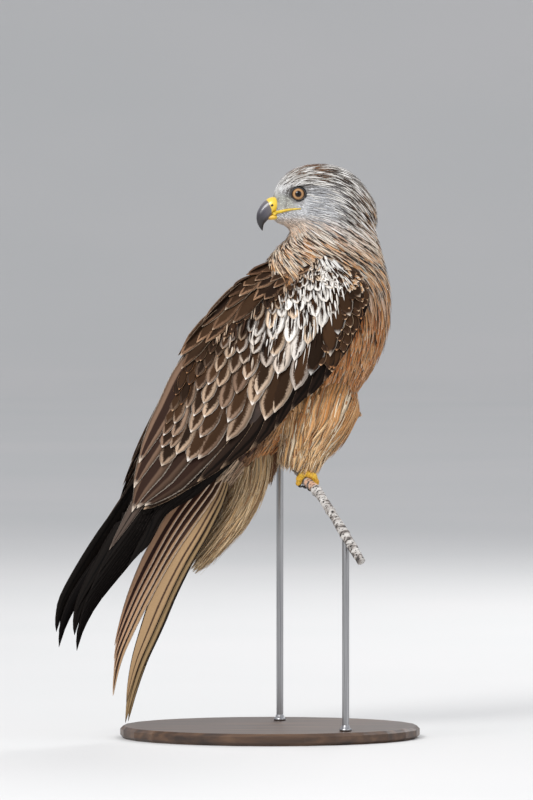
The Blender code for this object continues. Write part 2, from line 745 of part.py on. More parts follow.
def tail(look):
    """The tented tail: six feathers a side, longer towards the outside, from one root."""
    core = loft_solid("tail", Loft(TAIL_ROOT), 0, 1, 5, 12)
    pieces = []
    for sheet, sign in ((TAIL_NEAR, 1), (TAIL_FAR, -1)):
        for number, (root, tip, width) in enumerate(TAIL_FEATHERS):
            level = sign * (1.8 - TAIL_STEP * number)
            pieces.append(vane(sheet, (0.06, root), tip, width, level, level, tilt=0.0, crown=sign * 0.03,
                               rows=5, sharp=0.25))
    apply_boolean(core, "UNION", pieces)
    apply_boolean(core, "DIFFERENCE", [torso_form(GAP)])
    return finish(core, "tail", look)


def locks_round(form, rows, lift, width, chance, flip=False, reach=0.3):
    """Loose flat locks round a form, in tiers, each with its root sunk in the form's core."""
    made = []
    for start, count, turn in rows:
        for k in range(count):
            t = turn + (k + chance.uniform(-0.12, 0.12)) / count
            tip = (min(start + reach * chance.uniform(0.85, 1.1), 0.995), t + chance.uniform(-0.015, 0.015))
            made.append(vane(form, (start, t), tip, width * chance.uniform(0.85, 1.15), -LOCK_ROOT, lift,
                             rows=3, tilt=0.1, crown=0.0, flip=flip, sharp=0.2, columns=(-1, 1)))
    return made


def vent(look):
    """The long soft feathers under the tail, over a core that ends half way down them."""
    form = Loft(VENT)
    core = loft_solid("vent", form, 0, 0.55, 7, 14, -COAT)
    chance = random.Random(SEED + 1)
    apply_boolean(core, "UNION", locks_round(form, VENT_ROWS, 0.0, 15.0, chance))
    apply_boolean(core, "DIFFERENCE", [torso_form(GAP), loft_solid("cut", Loft(TAIL_ROOT), 0, 1, 5, 12, GAP)])
    return finish(core, "undertail_coverts", look)


def thigh(side, flip, lift, foot, look):
    """The loose trousers over the upper leg; returns two points that the shank's top is set by."""
    rows = [(x, z + lift * min(k / 3, 1), out, depth, width) for k, (x, z, out, depth, width) in enumerate(THIGH)]
    form = Loft(rows)
    inner = Loft(rows[:THIGH_CORE])
    core = loft_solid("thigh", inner, 0.1, 1, 8, 12, -COAT, flip=flip)
    chance = random.Random(SEED + 2)
    apply_boolean(core, "UNION", locks_round(form, THIGH_ROWS, 0.0, 15.0, chance, flip, 0.34), "MANIFOLD")
    apply_boolean(core, "DIFFERENCE", [torso_form(GAP)], "MANIFOLD")
    apply_boolean(core, "DIFFERENCE", [loft_solid("cut", Loft(VENT), 0, 0.8, 7, 14, 0.8)], "MANIFOLD")
    centre, run, up, front = foot_axes(foot)
    room = ball("room", centre + up * PALM_LIFT, FOOT_ROOM, (run, front, up), 10, 6)
    apply_boolean(core, "DIFFERENCE", [room], "MANIFOLD")
    finish(core, "thigh_" + side, look)
    return [mirror(inner.beyond(d)) if flip else inner.beyond(d) for d in (2.5, GAP)]


def main():
    for old in list(bpy.data.objects):
        bpy.data.objects.remove(old)

    pale = material("head_plumage", (0.62, 0.58, 0.52), 0.85)
    streaked = material("neck_plumage", (0.55, 0.42, 0.30), 0.85)
    rufous = material("body_plumage", (0.52, 0.27, 0.12), 0.85)
    brown = material("wing_plumage", (0.13, 0.08, 0.055), 0.75)
    fox = material("tail_plumage", (0.45, 0.24, 0.12), 0.75)
    buff = material("undertail_plumage", (0.62, 0.45, 0.28), 0.85)
    trousers = material("trouser_plumage", (0.58, 0.33, 0.15), 0.85)
    slate = material("bill_horn", (0.10, 0.10, 0.11), 0.35)
    yellow = material("foot_skin", (0.80, 0.50, 0.08), 0.5)
    claw = material("claw_horn", (0.03, 0.03, 0.03), 0.3)
    amber = material("eye_amber", (0.62, 0.45, 0.22), 0.05)
    bark = material("bark", (0.30, 0.27, 0.25), 0.9)
    wood = material("stand_wood", (0.10, 0.06, 0.04), 0.45)
    steel = material("stand_steel", (0.35, 0.35, 0.36), 0.35)

    whole = torso_form()
    apply_boolean(whole, "UNION", [head_shape()])
    torso = cut_level(whole, "torso", below=NECK_FOOT - GAP / 2)
    neck = cut_level(whole, "neck", above=NECK_FOOT + GAP / 2, below=NECK_TOP - GAP / 2)
    head = cut_level(whole, "head", above=NECK_TOP + GAP / 2)
    bpy.data.objects.remove(whole)
    finish(torso, "torso", rufous)
    finish(neck, "neck", streaked)

    details = []
    for side in (-1, 1):
        details.append(lids(side))
        details.append(along_face(side, (42, 549.5), (20, 553.5), (1.6, 2.4), 0.2))
        for shift, reach in ((0.9, 1.2), (-0.9, 1.0)):
            front = (GAPE_FRONT[0] - 0.6, GAPE_FRONT[1] + shift)
            details.append(along_face(side, front, (GAPE_CORNER[0], GAPE_CORNER[1] + shift * 0.4),
                                      (reach, reach * 0.6), 0.0))
    apply_boolean(head, "UNION", details)
    apply_boolean(head, "DIFFERENCE", [eye_ball("socket", side, GAP) for side in (-1, 1)])
    finish(head, "head", pale)
    for side, name in ((1, "eye_l"), (-1, "eye_r")):
        finish(eye_ball(name, side), name, amber)

    upper = bill("upper_bill", UPPER_BILL, 14, 0.8)
    holes = []
    for side in (-1, 1):
        spot = head_point(NOSTRIL[0], side * 8.2, NOSTRIL[1])
        holes.append(ball("nostril", spot, (1.7, 1.3, 1.1), (HEAD_FORWARD, HEAD_LEFT, UP), 8, 6))
    apply_boolean(upper, "DIFFERENCE", holes)
    finish(upper, "upper_bill", slate)
    finish(bill("lower_bill", LOWER_BILL, 12, 0.8), "lower_bill", slate)

    wing("r", False, brown)
    wing("l", True, brown)
    tail(fox)
    vent(buff)

    for number, (side, flip) in enumerate((("l", True), ("r", False))):
        s = FEET[number]
        lift = perch_line(s).z - perch_line(FEET[1]).z
        hock = thigh(side, flip, lift, s, trousers)
        leg(side, s, hock, yellow, claw)

    finish(perch_solid("perch"), "perch", bark)
    for number, s in enumerate(RODS):
        top = perch_line(s)
        foot = Vector((top.x, top.y, STAND_SIZE[2] + GAP))
        rod = tube("rod", [foot, mix(foot, top, 0.5), top], [ROD_RADIUS] * 3, 16)
        apply_boolean(rod, "DIFFERENCE", [perch_solid("cut", GAP)])
        finish(rod, "stand_rod_" + ("far", "near")[number], steel)
    loops = []
    for inset, level in ((STAND_EDGE, 0), (0, STAND_EDGE), (0, STAND_SIZE[2] - STAND_EDGE), (STAND_EDGE, STAND_SIZE[2])):
        loops.append([
            Vector(((STAND_SIZE[0] / 2 - inset) * math.cos(a), (STAND_SIZE[1] / 2 - inset) * math.sin(a), level))
            for a in (2 * math.pi * i / 28 for i in range(28))
        ])
    finish(solid("stand_base", *rings(loops)), "stand_base", wood)


main()
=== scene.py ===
import math

import bpy
import numpy as np
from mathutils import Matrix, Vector
from mathutils.bvhtree import BVHTree


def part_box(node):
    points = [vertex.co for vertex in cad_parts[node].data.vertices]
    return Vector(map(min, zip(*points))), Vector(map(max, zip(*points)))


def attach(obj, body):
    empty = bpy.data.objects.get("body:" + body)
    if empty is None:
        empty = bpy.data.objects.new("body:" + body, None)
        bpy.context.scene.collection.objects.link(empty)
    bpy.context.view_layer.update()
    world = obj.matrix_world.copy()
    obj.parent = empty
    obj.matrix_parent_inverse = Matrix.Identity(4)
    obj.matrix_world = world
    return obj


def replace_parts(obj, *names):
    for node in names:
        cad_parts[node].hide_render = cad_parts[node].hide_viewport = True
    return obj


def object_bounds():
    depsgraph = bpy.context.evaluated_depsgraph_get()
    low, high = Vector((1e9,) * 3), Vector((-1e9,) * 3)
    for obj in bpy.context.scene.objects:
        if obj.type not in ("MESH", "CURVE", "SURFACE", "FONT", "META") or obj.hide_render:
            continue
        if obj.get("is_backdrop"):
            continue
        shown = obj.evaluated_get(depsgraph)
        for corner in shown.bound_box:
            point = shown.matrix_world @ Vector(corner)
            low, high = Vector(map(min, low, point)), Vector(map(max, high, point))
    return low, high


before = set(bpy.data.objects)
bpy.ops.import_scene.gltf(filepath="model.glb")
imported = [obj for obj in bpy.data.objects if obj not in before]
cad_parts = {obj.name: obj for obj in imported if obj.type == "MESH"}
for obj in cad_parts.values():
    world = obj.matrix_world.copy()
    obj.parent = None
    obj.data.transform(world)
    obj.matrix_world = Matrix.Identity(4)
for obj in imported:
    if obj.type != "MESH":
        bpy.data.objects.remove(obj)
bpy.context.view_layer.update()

# Camera and light.
# The bird is seen from a long way off and a little above. The light is soft: a large lamp at the upper
# left, a weak one at the right, one behind, and a pale, slightly blue sky all round.
MM = 0.001
VIEW_CENTRE = (-3.5, 0.0, 338.0)
VIEW_DISTANCE = 8000.0
VIEW_ELEVATION = math.radians(2)
VIEW_LENS = 360.0
VIEW_REACH = 100.0
# name, place and size in metres, power in watts
LAMPS = (
    ("key", (-1.5, -2.2, 2.4), 1.3, 88.0),
    ("fill", (2.4, -1.6, 1.2), 2.2, 12.0),
    ("rim", (1.0, 2.2, 2.0), 1.6, 40.0),
)
LAMP_AIM = Vector((0, 0, 0.3))
SKY_COLOUR = (0.93, 0.95, 1.0, 1)
SKY_STRENGTH = 0.78


def added(name, data):
    """An object in the scene that shows the data."""
    made = bpy.data.objects.new(name, data)
    bpy.context.scene.collection.objects.link(made)
    return made


back = Vector((0, -math.cos(VIEW_ELEVATION), math.sin(VIEW_ELEVATION)))
camera = added("camera", bpy.data.cameras.new("camera"))
camera.data.lens = VIEW_LENS
camera.data.clip_end = VIEW_REACH
camera.location = (Vector(VIEW_CENTRE) + back * VIEW_DISTANCE) * MM
camera.rotation_euler = (-back).to_track_quat("-Z", "Y").to_euler()
bpy.context.scene.camera = camera

for name, spot, size, watts in LAMPS:
    lamp = added(name, bpy.data.lights.new(name, "AREA"))
    lamp.data.size = size
    lamp.data.energy = watts
    lamp.location = spot
    lamp.rotation_euler = (LAMP_AIM - Vector(spot)).to_track_quat("-Z", "Y").to_euler()

world = bpy.data.worlds.new("studio")
world.use_nodes = True
world.node_tree.nodes["Background"].inputs["Color"].default_value = SKY_COLOUR
world.node_tree.nodes["Background"].inputs["Strength"].default_value = SKY_STRENGTH
bpy.context.scene.world = world
bpy.context.scene.view_settings.view_transform = "Standard"

# Floor.
# A plain pale studio floor that turns up in a wide ring, so that no edge of it is seen from any side.
# It is no part of the bird.
FLOOR_FLAT, FLAT_RINGS = 10.0, 6
FLOOR_RIM, RIM_RINGS = 5.0, 12
FLOOR_SIDES = 72


class Value:
    """A socket of a material's nodes, for sums written as plain expressions."""

    def __init__(self, look, socket):
        self.look = look
        self.socket = socket

    def sum(self, operation, *others):
        return self.look.node("ShaderNodeMath", {"operation": operation}, *(self, *others))

    def __add__(self, other):
        return self.sum("ADD", other)

    def __sub__(self, other):
        return self.sum("SUBTRACT", other)

    def __rsub__(self, other):
        return self.look.node("ShaderNodeMath", {"operation": "SUBTRACT"}, other, self)

    def __mul__(self, other):
        return self.sum("MULTIPLY", other)

    def __abs__(self):
        return self.sum("ABSOLUTE")

    __radd__ = __add__
    __rmul__ = __mul__

    def most(self, other):
        return self.sum("MAXIMUM", other)

    def step(self, low, high, start=0.0, end=1.0):
        """Eased from start to end while this value goes from low to high."""
        return self.look.node("ShaderNodeMapRange", {"interpolation_type": "SMOOTHSTEP"},
                              self, low, high, start, end)


class Look:
    """A material, with one method that makes any node."""

    def __init__(self, name, roughness=0.7, **sockets):
        self.material = bpy.data.materials.new(name)
        self.material.use_nodes = True
        self.tree = self.material.node_tree
        self.shader = self.tree.nodes["Principled BSDF"]
        self.shader.inputs["Roughness"].default_value = roughness
        for socket, value in sockets.items():
            self.shader.inputs[socket.replace("_", " ")].default_value = value

    def put(self, target, value):
        if isinstance(value, Value):
            self.tree.links.new(value.socket, target)
        elif target.type == "RGBA" and len(value) == 3:
            target.default_value = (*value, 1)
        else:
            target.default_value = value

    def node(self, kind, settings=None, *values, out=0, **named):
        """Any node. Its settings come first, then the values or links of its sockets, None to pass one by."""
        made = self.tree.nodes.new(kind)
        for key, value in (settings or {}).items():
            if key == "stops":
                points = made.color_ramp.elements
                while len(points) < len(value):
                    points.new(0.5)
                for point, (at, colour) in zip(points, value):
                    point.position = at
                    point.color = (*colour, 1)
            else:
                setattr(made, key, value)
        for target, value in zip(made.inputs, values):
            if value is not None:
                self.put(target, value)
        for key, value in named.items():
            self.put(made.inputs[key.replace("_", " ")], value)
        return Value(self, made.outputs[out])

    def attribute(self, name):
        """The vector or colour that a mesh carries at each point under a name."""
        return self.node("ShaderNodeAttribute", {"attribute_name": name}, out="Vector")

    def channels(self, name):
        """The three numbers of such a vector."""
        first = self.node("ShaderNodeSeparateXYZ", None, self.attribute(name))
        return [Value(self, socket) for socket in first.socket.node.outputs]

    def place(self):
        return self.node("ShaderNodeTexCoord", out="Object")

    def stretched(self, size, where=None):
        return self.node("ShaderNodeMapping", None, where or self.place(), Scale=size)

    def noise(self, scale, detail=3.0, where=None):
        return self.node("ShaderNodeTexNoise", None, out="Fac", Vector=where or self.place(), Scale=scale,
                         Detail=detail)

    def blend(self, mask, under, over):
        """One colour over another by a mask."""
        return self.node("ShaderNodeMix", {"data_type": "RGBA"}, mask, *[None] * 5, under, over, out=2)

    def ramp(self, value, *stops):
        return self.node("ShaderNodeValToRGB", {"stops": stops}, value)

    def bump(self, height, strength, distance=0.0005):
        raised = self.node("ShaderNodeBump", None, Strength=strength, Distance=distance, Height=height)
        self.put(self.shader.inputs["Normal"], raised)

    def colour(self, value):
        self.put(self.shader.inputs["Base Color"], value)
        return self

    def mottled(self, scale, dark, light, low=0.3, high=0.7, detail=3.0):
        """Coloured in soft clouds of two tones."""
        return self.colour(self.ramp(self.noise(scale, detail), (low, dark), (high, light)))


floor_mesh = bpy.data.meshes.new("floor")
floor_rings = [(FLOOR_FLAT * k / FLAT_RINGS, 0.0) for k in range(1, FLAT_RINGS + 1)] + [
    (FLOOR_FLAT + FLOOR_RIM * math.sin(a), FLOOR_RIM * (1 - math.cos(a)))
    for a in (math.pi / 2 * k / RIM_RINGS for k in range(1, RIM_RINGS + 1))
]
floor_turns = [2 * math.pi * i / FLOOR_SIDES for i in range(FLOOR_SIDES)]
floor_points = [(0.0, 0.0, 0.0)] + [
    (reach * math.cos(turn), reach * math.sin(turn), rise)
    for reach, rise in floor_rings for turn in floor_turns
]
floor_faces = [(0, 1 + i, 1 + (i + 1) % FLOOR_SIDES) for i in range(FLOOR_SIDES)]
for k in range(len(floor_rings) - 1):
    inner, outer = 1 + k * FLOOR_SIDES, 1 + (k + 1) * FLOOR_SIDES
    for i in range(FLOOR_SIDES):
        j = (i + 1) % FLOOR_SIDES
        floor_faces.append((inner + i, outer + i, outer + j, inner + j))
floor_mesh.from_pydata(floor_points, [], floor_faces)
floor_mesh.polygons.foreach_set("use_smooth", [True] * len(floor_mesh.polygons))
floor_look = Look("pale_floor", 0.85).mottled(1.3, (0.62, 0.62, 0.61), (0.65, 0.64, 0.63), detail=2.0)
floor_mesh.materials.append(floor_look.material)
added("floor", floor_mesh)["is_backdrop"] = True

# Body skin.
# The plucked form under the coat, of one piece from the forehead to the vent. It is remeshed from the
# solids of head, neck and torso with the flesh of the legs and vent, and drawn in by the coat's depth.
SKIN_VOXEL = 2.6
SKIN_SMOOTHINGS = 6
COAT_DEPTH = 1.6
FACE_THINNING = 0.75
HEADING = math.radians(20)
HEAD_HEADING = math.radians(198)
MIDPLANE_X, MIDPLANE_Y = 28.4, 20.0
FORWARD = np.array((math.cos(HEADING), math.sin(HEADING), 0.0))
RIGHT = np.array((math.sin(HEADING), -math.cos(HEADING), 0.0))
UP = np.array((0.0, 0.0, 1.0))
MIDPLANE = np.array((MIDPLANE_X, MIDPLANE_Y, 0.0))
HEAD_CENTRE = np.array((52.0, 29.0, 0.0))
HEAD_FORWARD = np.array((math.cos(HEAD_HEADING), math.sin(HEAD_HEADING), 0.0))
HEAD_LEFT = np.cross(UP, HEAD_FORWARD)
# seen x, height, distance out from the mid-plane, half depth and half width, from the top down
VENT = (
    (-20, 306, 0, 26, 26), (-17, 276, 0, 20, 24), (-23, 248, 0, 17, 22), (-35, 221, 0, 14, 17),
    (-54, 195, 0, 10, 12), (-78, 166, 0, 4, 5),
)
THIGH = (
    (58, 368, 0, 44, 32), (52, 342, 32, 46, 26), (46, 320, 33, 40, 22), (39, 302, 31.5, 32, 18),
    (33, 288, 30, 25, 15), (28, 272, 29.5, 20, 12), (22, 256, 29, 12, 9),
)
LEG_LIFT = 19.0
FLESH_DEPTH = 5.0


def unit(v):
    return v / np.maximum(np.linalg.norm(v, axis=-1, keepdims=True), 1e-9)


def mix(a, b, f):
    return a + (b - a) * f


def eased(x, low, high):
    """0 below low, 1 above high, and smooth between."""
    f = np.clip((x - low) / (high - low), 0, 1)
    return f * f * (3 - 2 * f)


def place(x, z, out):
    """The point seen at x and z from the front that lies out to the right of the bird's mid-plane."""
    y = MIDPLANE_Y + ((x - MIDPLANE_X) * math.sin(HEADING) - out) / math.cos(HEADING)
    return np.stack(np.broadcast_arrays(x, y, z), -1)


def mirror(points):
    """The same points on the other side of the bird."""
    return points - RIGHT * (2 * ((points - MIDPLANE) @ RIGHT))[..., None]


def mirror_turns(leans):
    """The same directions on the other side of the bird."""
    return unit(mirror(leans + MIDPLANE) - MIDPLANE)


def along(table, s):
    """Smooth curves through the rows of a table, at each s from 0 to 1."""
    table = np.asarray(table, float)
    s = np.asarray(s, float)
    last = len(table) - 1
    spot = np.clip(s, 0, 1) * last
    i = np.minimum(spot.astype(int), last - 1)
    f = (spot - i)[..., None]
    b, c = table[i], table[i + 1]
    a = np.where((i > 0)[..., None], table[np.maximum(i - 1, 0)], 2 * b - c)
    d = np.where((i + 2 <= last)[..., None], table[np.minimum(i + 2, last)], 2 * c - b)
    square, cube = 2 * a - 5 * b + 4 * c - d, 3 * b - a - 3 * c + d
    return 0.5 * (2 * b + (c - a) * f + square * f * f + cube * f ** 3)


def ring_faces(rings, sides):
    """Faces of a closed form from rings of points: its two ends, then its sides."""
    faces = [tuple(range(sides)), tuple(range((rings - 1) * sides, rings * sides))]
    for k in range(rings - 1):
        for i in range(sides):
            j = (i + 1) % sides
            faces.append((k * sides + i, k * sides + j, (k + 1) * sides + j, (k + 1) * sides + i))
    return faces


class Form:
    """A surface with a point at each s along it and each t across or round it."""

    STEP = 0.01
    OUTWARD = 1

    def normal(self, s, t):
        by_s = self.point(np.minimum(s + self.STEP, 1), t) - self.point(np.maximum(s - self.STEP, 0), t)
        by_t = self.point(s, t + self.STEP) - self.point(s, t - self.STEP)
        return unit(np.cross(by_s, by_t)) * self.OUTWARD


class Loft(Form):
    """A round form on a centre line, of seen x, height, distance out, half depth and half width."""

    OUTWARD = -1

    def __init__(self, stations):
        self.stations = stations

    def point(self, s, t, grow=0.0):
        s, t = np.broadcast_arrays(np.asarray(s, float), np.asarray(t, float))
        row = along(self.stations, s)
        ahead = along(self.stations, np.minimum(s + 0.02, 1))
        behind = along(self.stations, np.maximum(s - 0.02, 0))
        run = unit(place(ahead[..., 0], ahead[..., 1], ahead[..., 2])
                   - place(behind[..., 0], behind[..., 1], behind[..., 2]))
        side = unit(RIGHT - run * (run @ RIGHT)[..., None])
        front = np.cross(side, run)
        front = front * np.where(front @ FORWARD < 0, -1.0, 1.0)[..., None]
        turn = t * 2 * np.pi
        reach = (front * ((row[..., 3] + grow) * np.cos(turn))[..., None]
                 + side * ((row[..., 4] + grow) * np.sin(turn))[..., None])
        return place(row[..., 0], row[..., 1], row[..., 2]) + reach

    def solid(self, start, end, steps, sides, grow, flip=False):
        """Points and faces of the closed form between two places along it."""
        s = np.linspace(start, end, steps)[:, None]
        points = self.point(s, (np.arange(sides) / sides)[None], grow).reshape(-1, 3)
        return mirror(points) if flip else points, ring_faces(steps, sides)


def mesh_object(name, points, faces, look):
    """A smooth object from points in millimetres and its faces."""
    mesh = bpy.data.meshes.new(name)
    mesh.from_pydata(np.asarray(points) * MM, [], faces)
    mesh.materials.append(look.material)
    mesh.polygons.foreach_set("use_smooth", np.ones(len(mesh.polygons), bool))
    return added(name, mesh)


def apply_all(obj):
    """The object's modifiers made part of its mesh."""
    shape = bpy.data.meshes.new_from_object(obj.evaluated_get(bpy.context.evaluated_depsgraph_get()))
    obj.modifiers.clear()
    obj.data = shape
    return obj


def one_skin(obj, voxel, smoothings):
    """The object's parts melted into one smooth skin."""
    remesh = obj.modifiers.new("one", "REMESH")
    remesh.mode = "VOXEL"
    remesh.voxel_size = voxel * MM
    remesh.use_smooth_shade = True
    relax = obj.modifiers.new("soft", "SMOOTH")
    relax.factor = 0.5
    relax.iterations = smoothings
    return apply_all(obj)


def carry(obj, name, values):
    """A vector or colour kept at each point of the object's mesh under a name."""
    layer = obj.data.attributes.new(name, "FLOAT_VECTOR", "POINT")
    layer.data.foreach_set("vector", np.asarray(values, float).ravel())


def joined(parts):
    """Several lists of points and faces as one."""
    points, faces = [], []
    for more_points, more_faces in parts:
        faces += [tuple(v + len(points) for v in face) for face in more_faces]
        points += [tuple(p) for p in more_points]
    return points, faces


def node_parts(*nodes):
    """Points and faces of the frame's nodes."""
    return [([v.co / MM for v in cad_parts[node].data.vertices],
             [tuple(face.vertices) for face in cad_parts[node].data.polygons]) for node in nodes]


def tree_of(points, faces):
    """A search tree of a surface, in millimetres."""
    return BVHTree.FromPolygons([Vector(p) for p in points], faces)


def head_local(points):
    """Distance ahead of the head's centre, and height."""
    return (points - HEAD_CENTRE) @ HEAD_FORWARD, points[..., 2]


vent_form = Loft(VENT)
thigh_form = Loft(THIGH)
# The far leg stands higher up the slope of the branch.
far_thigh_form = Loft([(x, z + LEG_LIFT * min(k / 3, 1), out, deep, wide)
                       for k, (x, z, out, deep, wide) in enumerate(THIGH)])
flesh = node_parts("head", "neck", "torso") + [
    vent_form.solid(0, 0.6, 10, 20, -FLESH_DEPTH),
    thigh_form.solid(0.08, 0.72, 12, 20, -FLESH_DEPTH),
    far_thigh_form.solid(0.08, 0.72, 12, 20, -FLESH_DEPTH, flip=True),
]
skin_look = Look("skin", 0.85)
skin = one_skin(mesh_object("body_skin", *joined(flesh), skin_look), SKIN_VOXEL, SKIN_SMOOTHINGS)
skin_points = np.array([v.co for v in skin.data.vertices]) / MM
skin_normals = np.array([v.normal for v in skin.data.vertices])
ahead, height = head_local(skin_points)
bare = eased(ahead, 40, 47) * eased(height, 500, 510)
skin_points = skin_points - skin_normals * (COAT_DEPTH * (1 - FACE_THINNING * bare))[:, None]
skin.data.vertices.foreach_set("co", (skin_points * MM).ravel())
skin.data.update()
skin_tree = tree_of(skin_points, [tuple(face.vertices) for face in skin.data.polygons])
trunk_tree = tree_of(*joined(node_parts("head", "neck", "torso")))
skin_look.bump(skin_look.noise(700.0), 0.4)
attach(skin, "root")
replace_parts(skin, "head", "neck", "torso")

# Small feathers of head, neck and body.
# Each is a soft, thin, pointed vane of keratin that grows from the skin and lies over the next.
# They are set at random a fixed space apart, and each follows the lie of the coat over the form.
SEED = 11
VANE_STATIONS = 6
TRIES = 6
HEAD_BORDER, NECK_BORDER = 508, 455
# sizes on breast, neck, head and face
COAT_SPACING = (5.4, 3.6, 2.8, 1.3)
COAT_LENGTH = (36, 29, 17.0, 6.6)
COAT_WIDTH = (9.5, 4.8, 3.4, 1.3)
COAT_RISE = (2.8, 1.7, 1.4, 0.55)
STREAK_SPACING = (7.5, 4.6, 3.1)
STREAK_LENGTH = (18, 17, 12.5, 6.0)
STREAK_WIDTH = (1.3, 1.5, 1.05, 0.7)
STREAK_RISE = (3.4, 2.4, 2.1)
# each feather's patch on the unwrap, the height that the unwrap spans, and how far a patch fills its cell
PATCH, UNWRAP_RISE, CELL_FILL = 3.0, 600, 0.9
chance = np.random.default_rng(SEED)


def scattered(obj, spacing, keep):
    """Points on an object's surface, at least about a spacing apart, where keep allows them."""
    mesh = obj.data
    mesh.calc_loop_triangles()
    tri = np.zeros(len(mesh.loop_triangles) * 3, int)
    mesh.loop_triangles.foreach_get("vertices", tri)
    tri = tri.reshape(-1, 3)
    points = np.array([v.co for v in mesh.vertices]) / MM
    normals = np.array([v.normal for v in mesh.vertices])
    a, b, c = points[tri[:, 0]], points[tri[:, 1]], points[tri[:, 2]]
    weight = np.linalg.norm(np.cross(b - a, c - a), axis=1) / spacing[tri[:, 0]] ** 2
    count = int(weight.sum() / 2 * TRIES)
    pick = chance.choice(len(tri), count, p=weight / weight.sum())
    u, v = chance.random(count), chance.random(count)
    fold = u + v > 1
    u[fold], v[fold] = 1 - u[fold], 1 - v[fold]
    spot = a[pick] + (b - a)[pick] * u[:, None] + (c - a)[pick] * v[:, None]
    lean = normals[tri[pick, 0]] * (1 - u - v)[:, None] + normals[tri[pick, 1]] * u[:, None]
    lean = unit(lean + normals[tri[pick, 2]] * v[:, None])
    near = spacing[tri[pick, 0]]
    allowed = keep(spot)
    spot, lean, near = spot[allowed], lean[allowed], near[allowed]
    cell = float(spacing.max())
    cells = np.floor(spot / cell).astype(int)
    spots = spot.tolist()
    grid = {}
    kept = []
    around = [(dx, dy, dz) for dx in (-1, 0, 1) for dy in (-1, 0, 1) for dz in (-1, 0, 1)]
    for i, (key, (x, y, z), room) in enumerate(zip(cells.tolist(), spots, (near ** 2).tolist())):
        close = (other for dx, dy, dz in around
                 for other in grid.get((key[0] + dx, key[1] + dy, key[2] + dz), ()))
        if all((x - qx) ** 2 + (y - qy) ** 2 + (z - qz) ** 2 >= room for qx, qy, qz in close):
            grid.setdefault(tuple(key), []).append((x, y, z))
            kept.append(i)
    return spot[kept], lean[kept]


def laid_over(tree, roots, normals, flow, lengths, stations):
    """Centre lines that start at the roots and follow the flow over a surface, with their normals."""
    spot, lean = roots.copy(), normals.copy()
    spots, leans = [spot], [lean]
    for _ in range(stations - 1):
        run = flow(spot, lean)
        run = unit(run - lean * np.sum(run * lean, -1, keepdims=True))
        ahead_of = spot + run * (lengths / (stations - 1))[:, None]
        found = [tree.find_nearest(Vector(p)) for p in ahead_of]
        spot = np.array([f[0] for f in found])
        lean = unit(np.array([f[1] for f in found]) + lean * 0.6)
        spots.append(spot)
        leans.append(lean)
    return np.stack(spots, 1), np.stack(leans, 1)


def vane_width(f, sharp, full_at=0.28, taper=0.45):
    """Half width along a vane as a share of its widest, from the root at 0 to the tip at 1."""
    body = np.sqrt(np.clip(f / full_at, 0, 1)) * 0.7 + 0.3
    tip = np.clip((1 - f) / taper, 0, 1) ** mix(0.45, 1.0, sharp)
    return body * np.clip(tip, 0.02, 1)


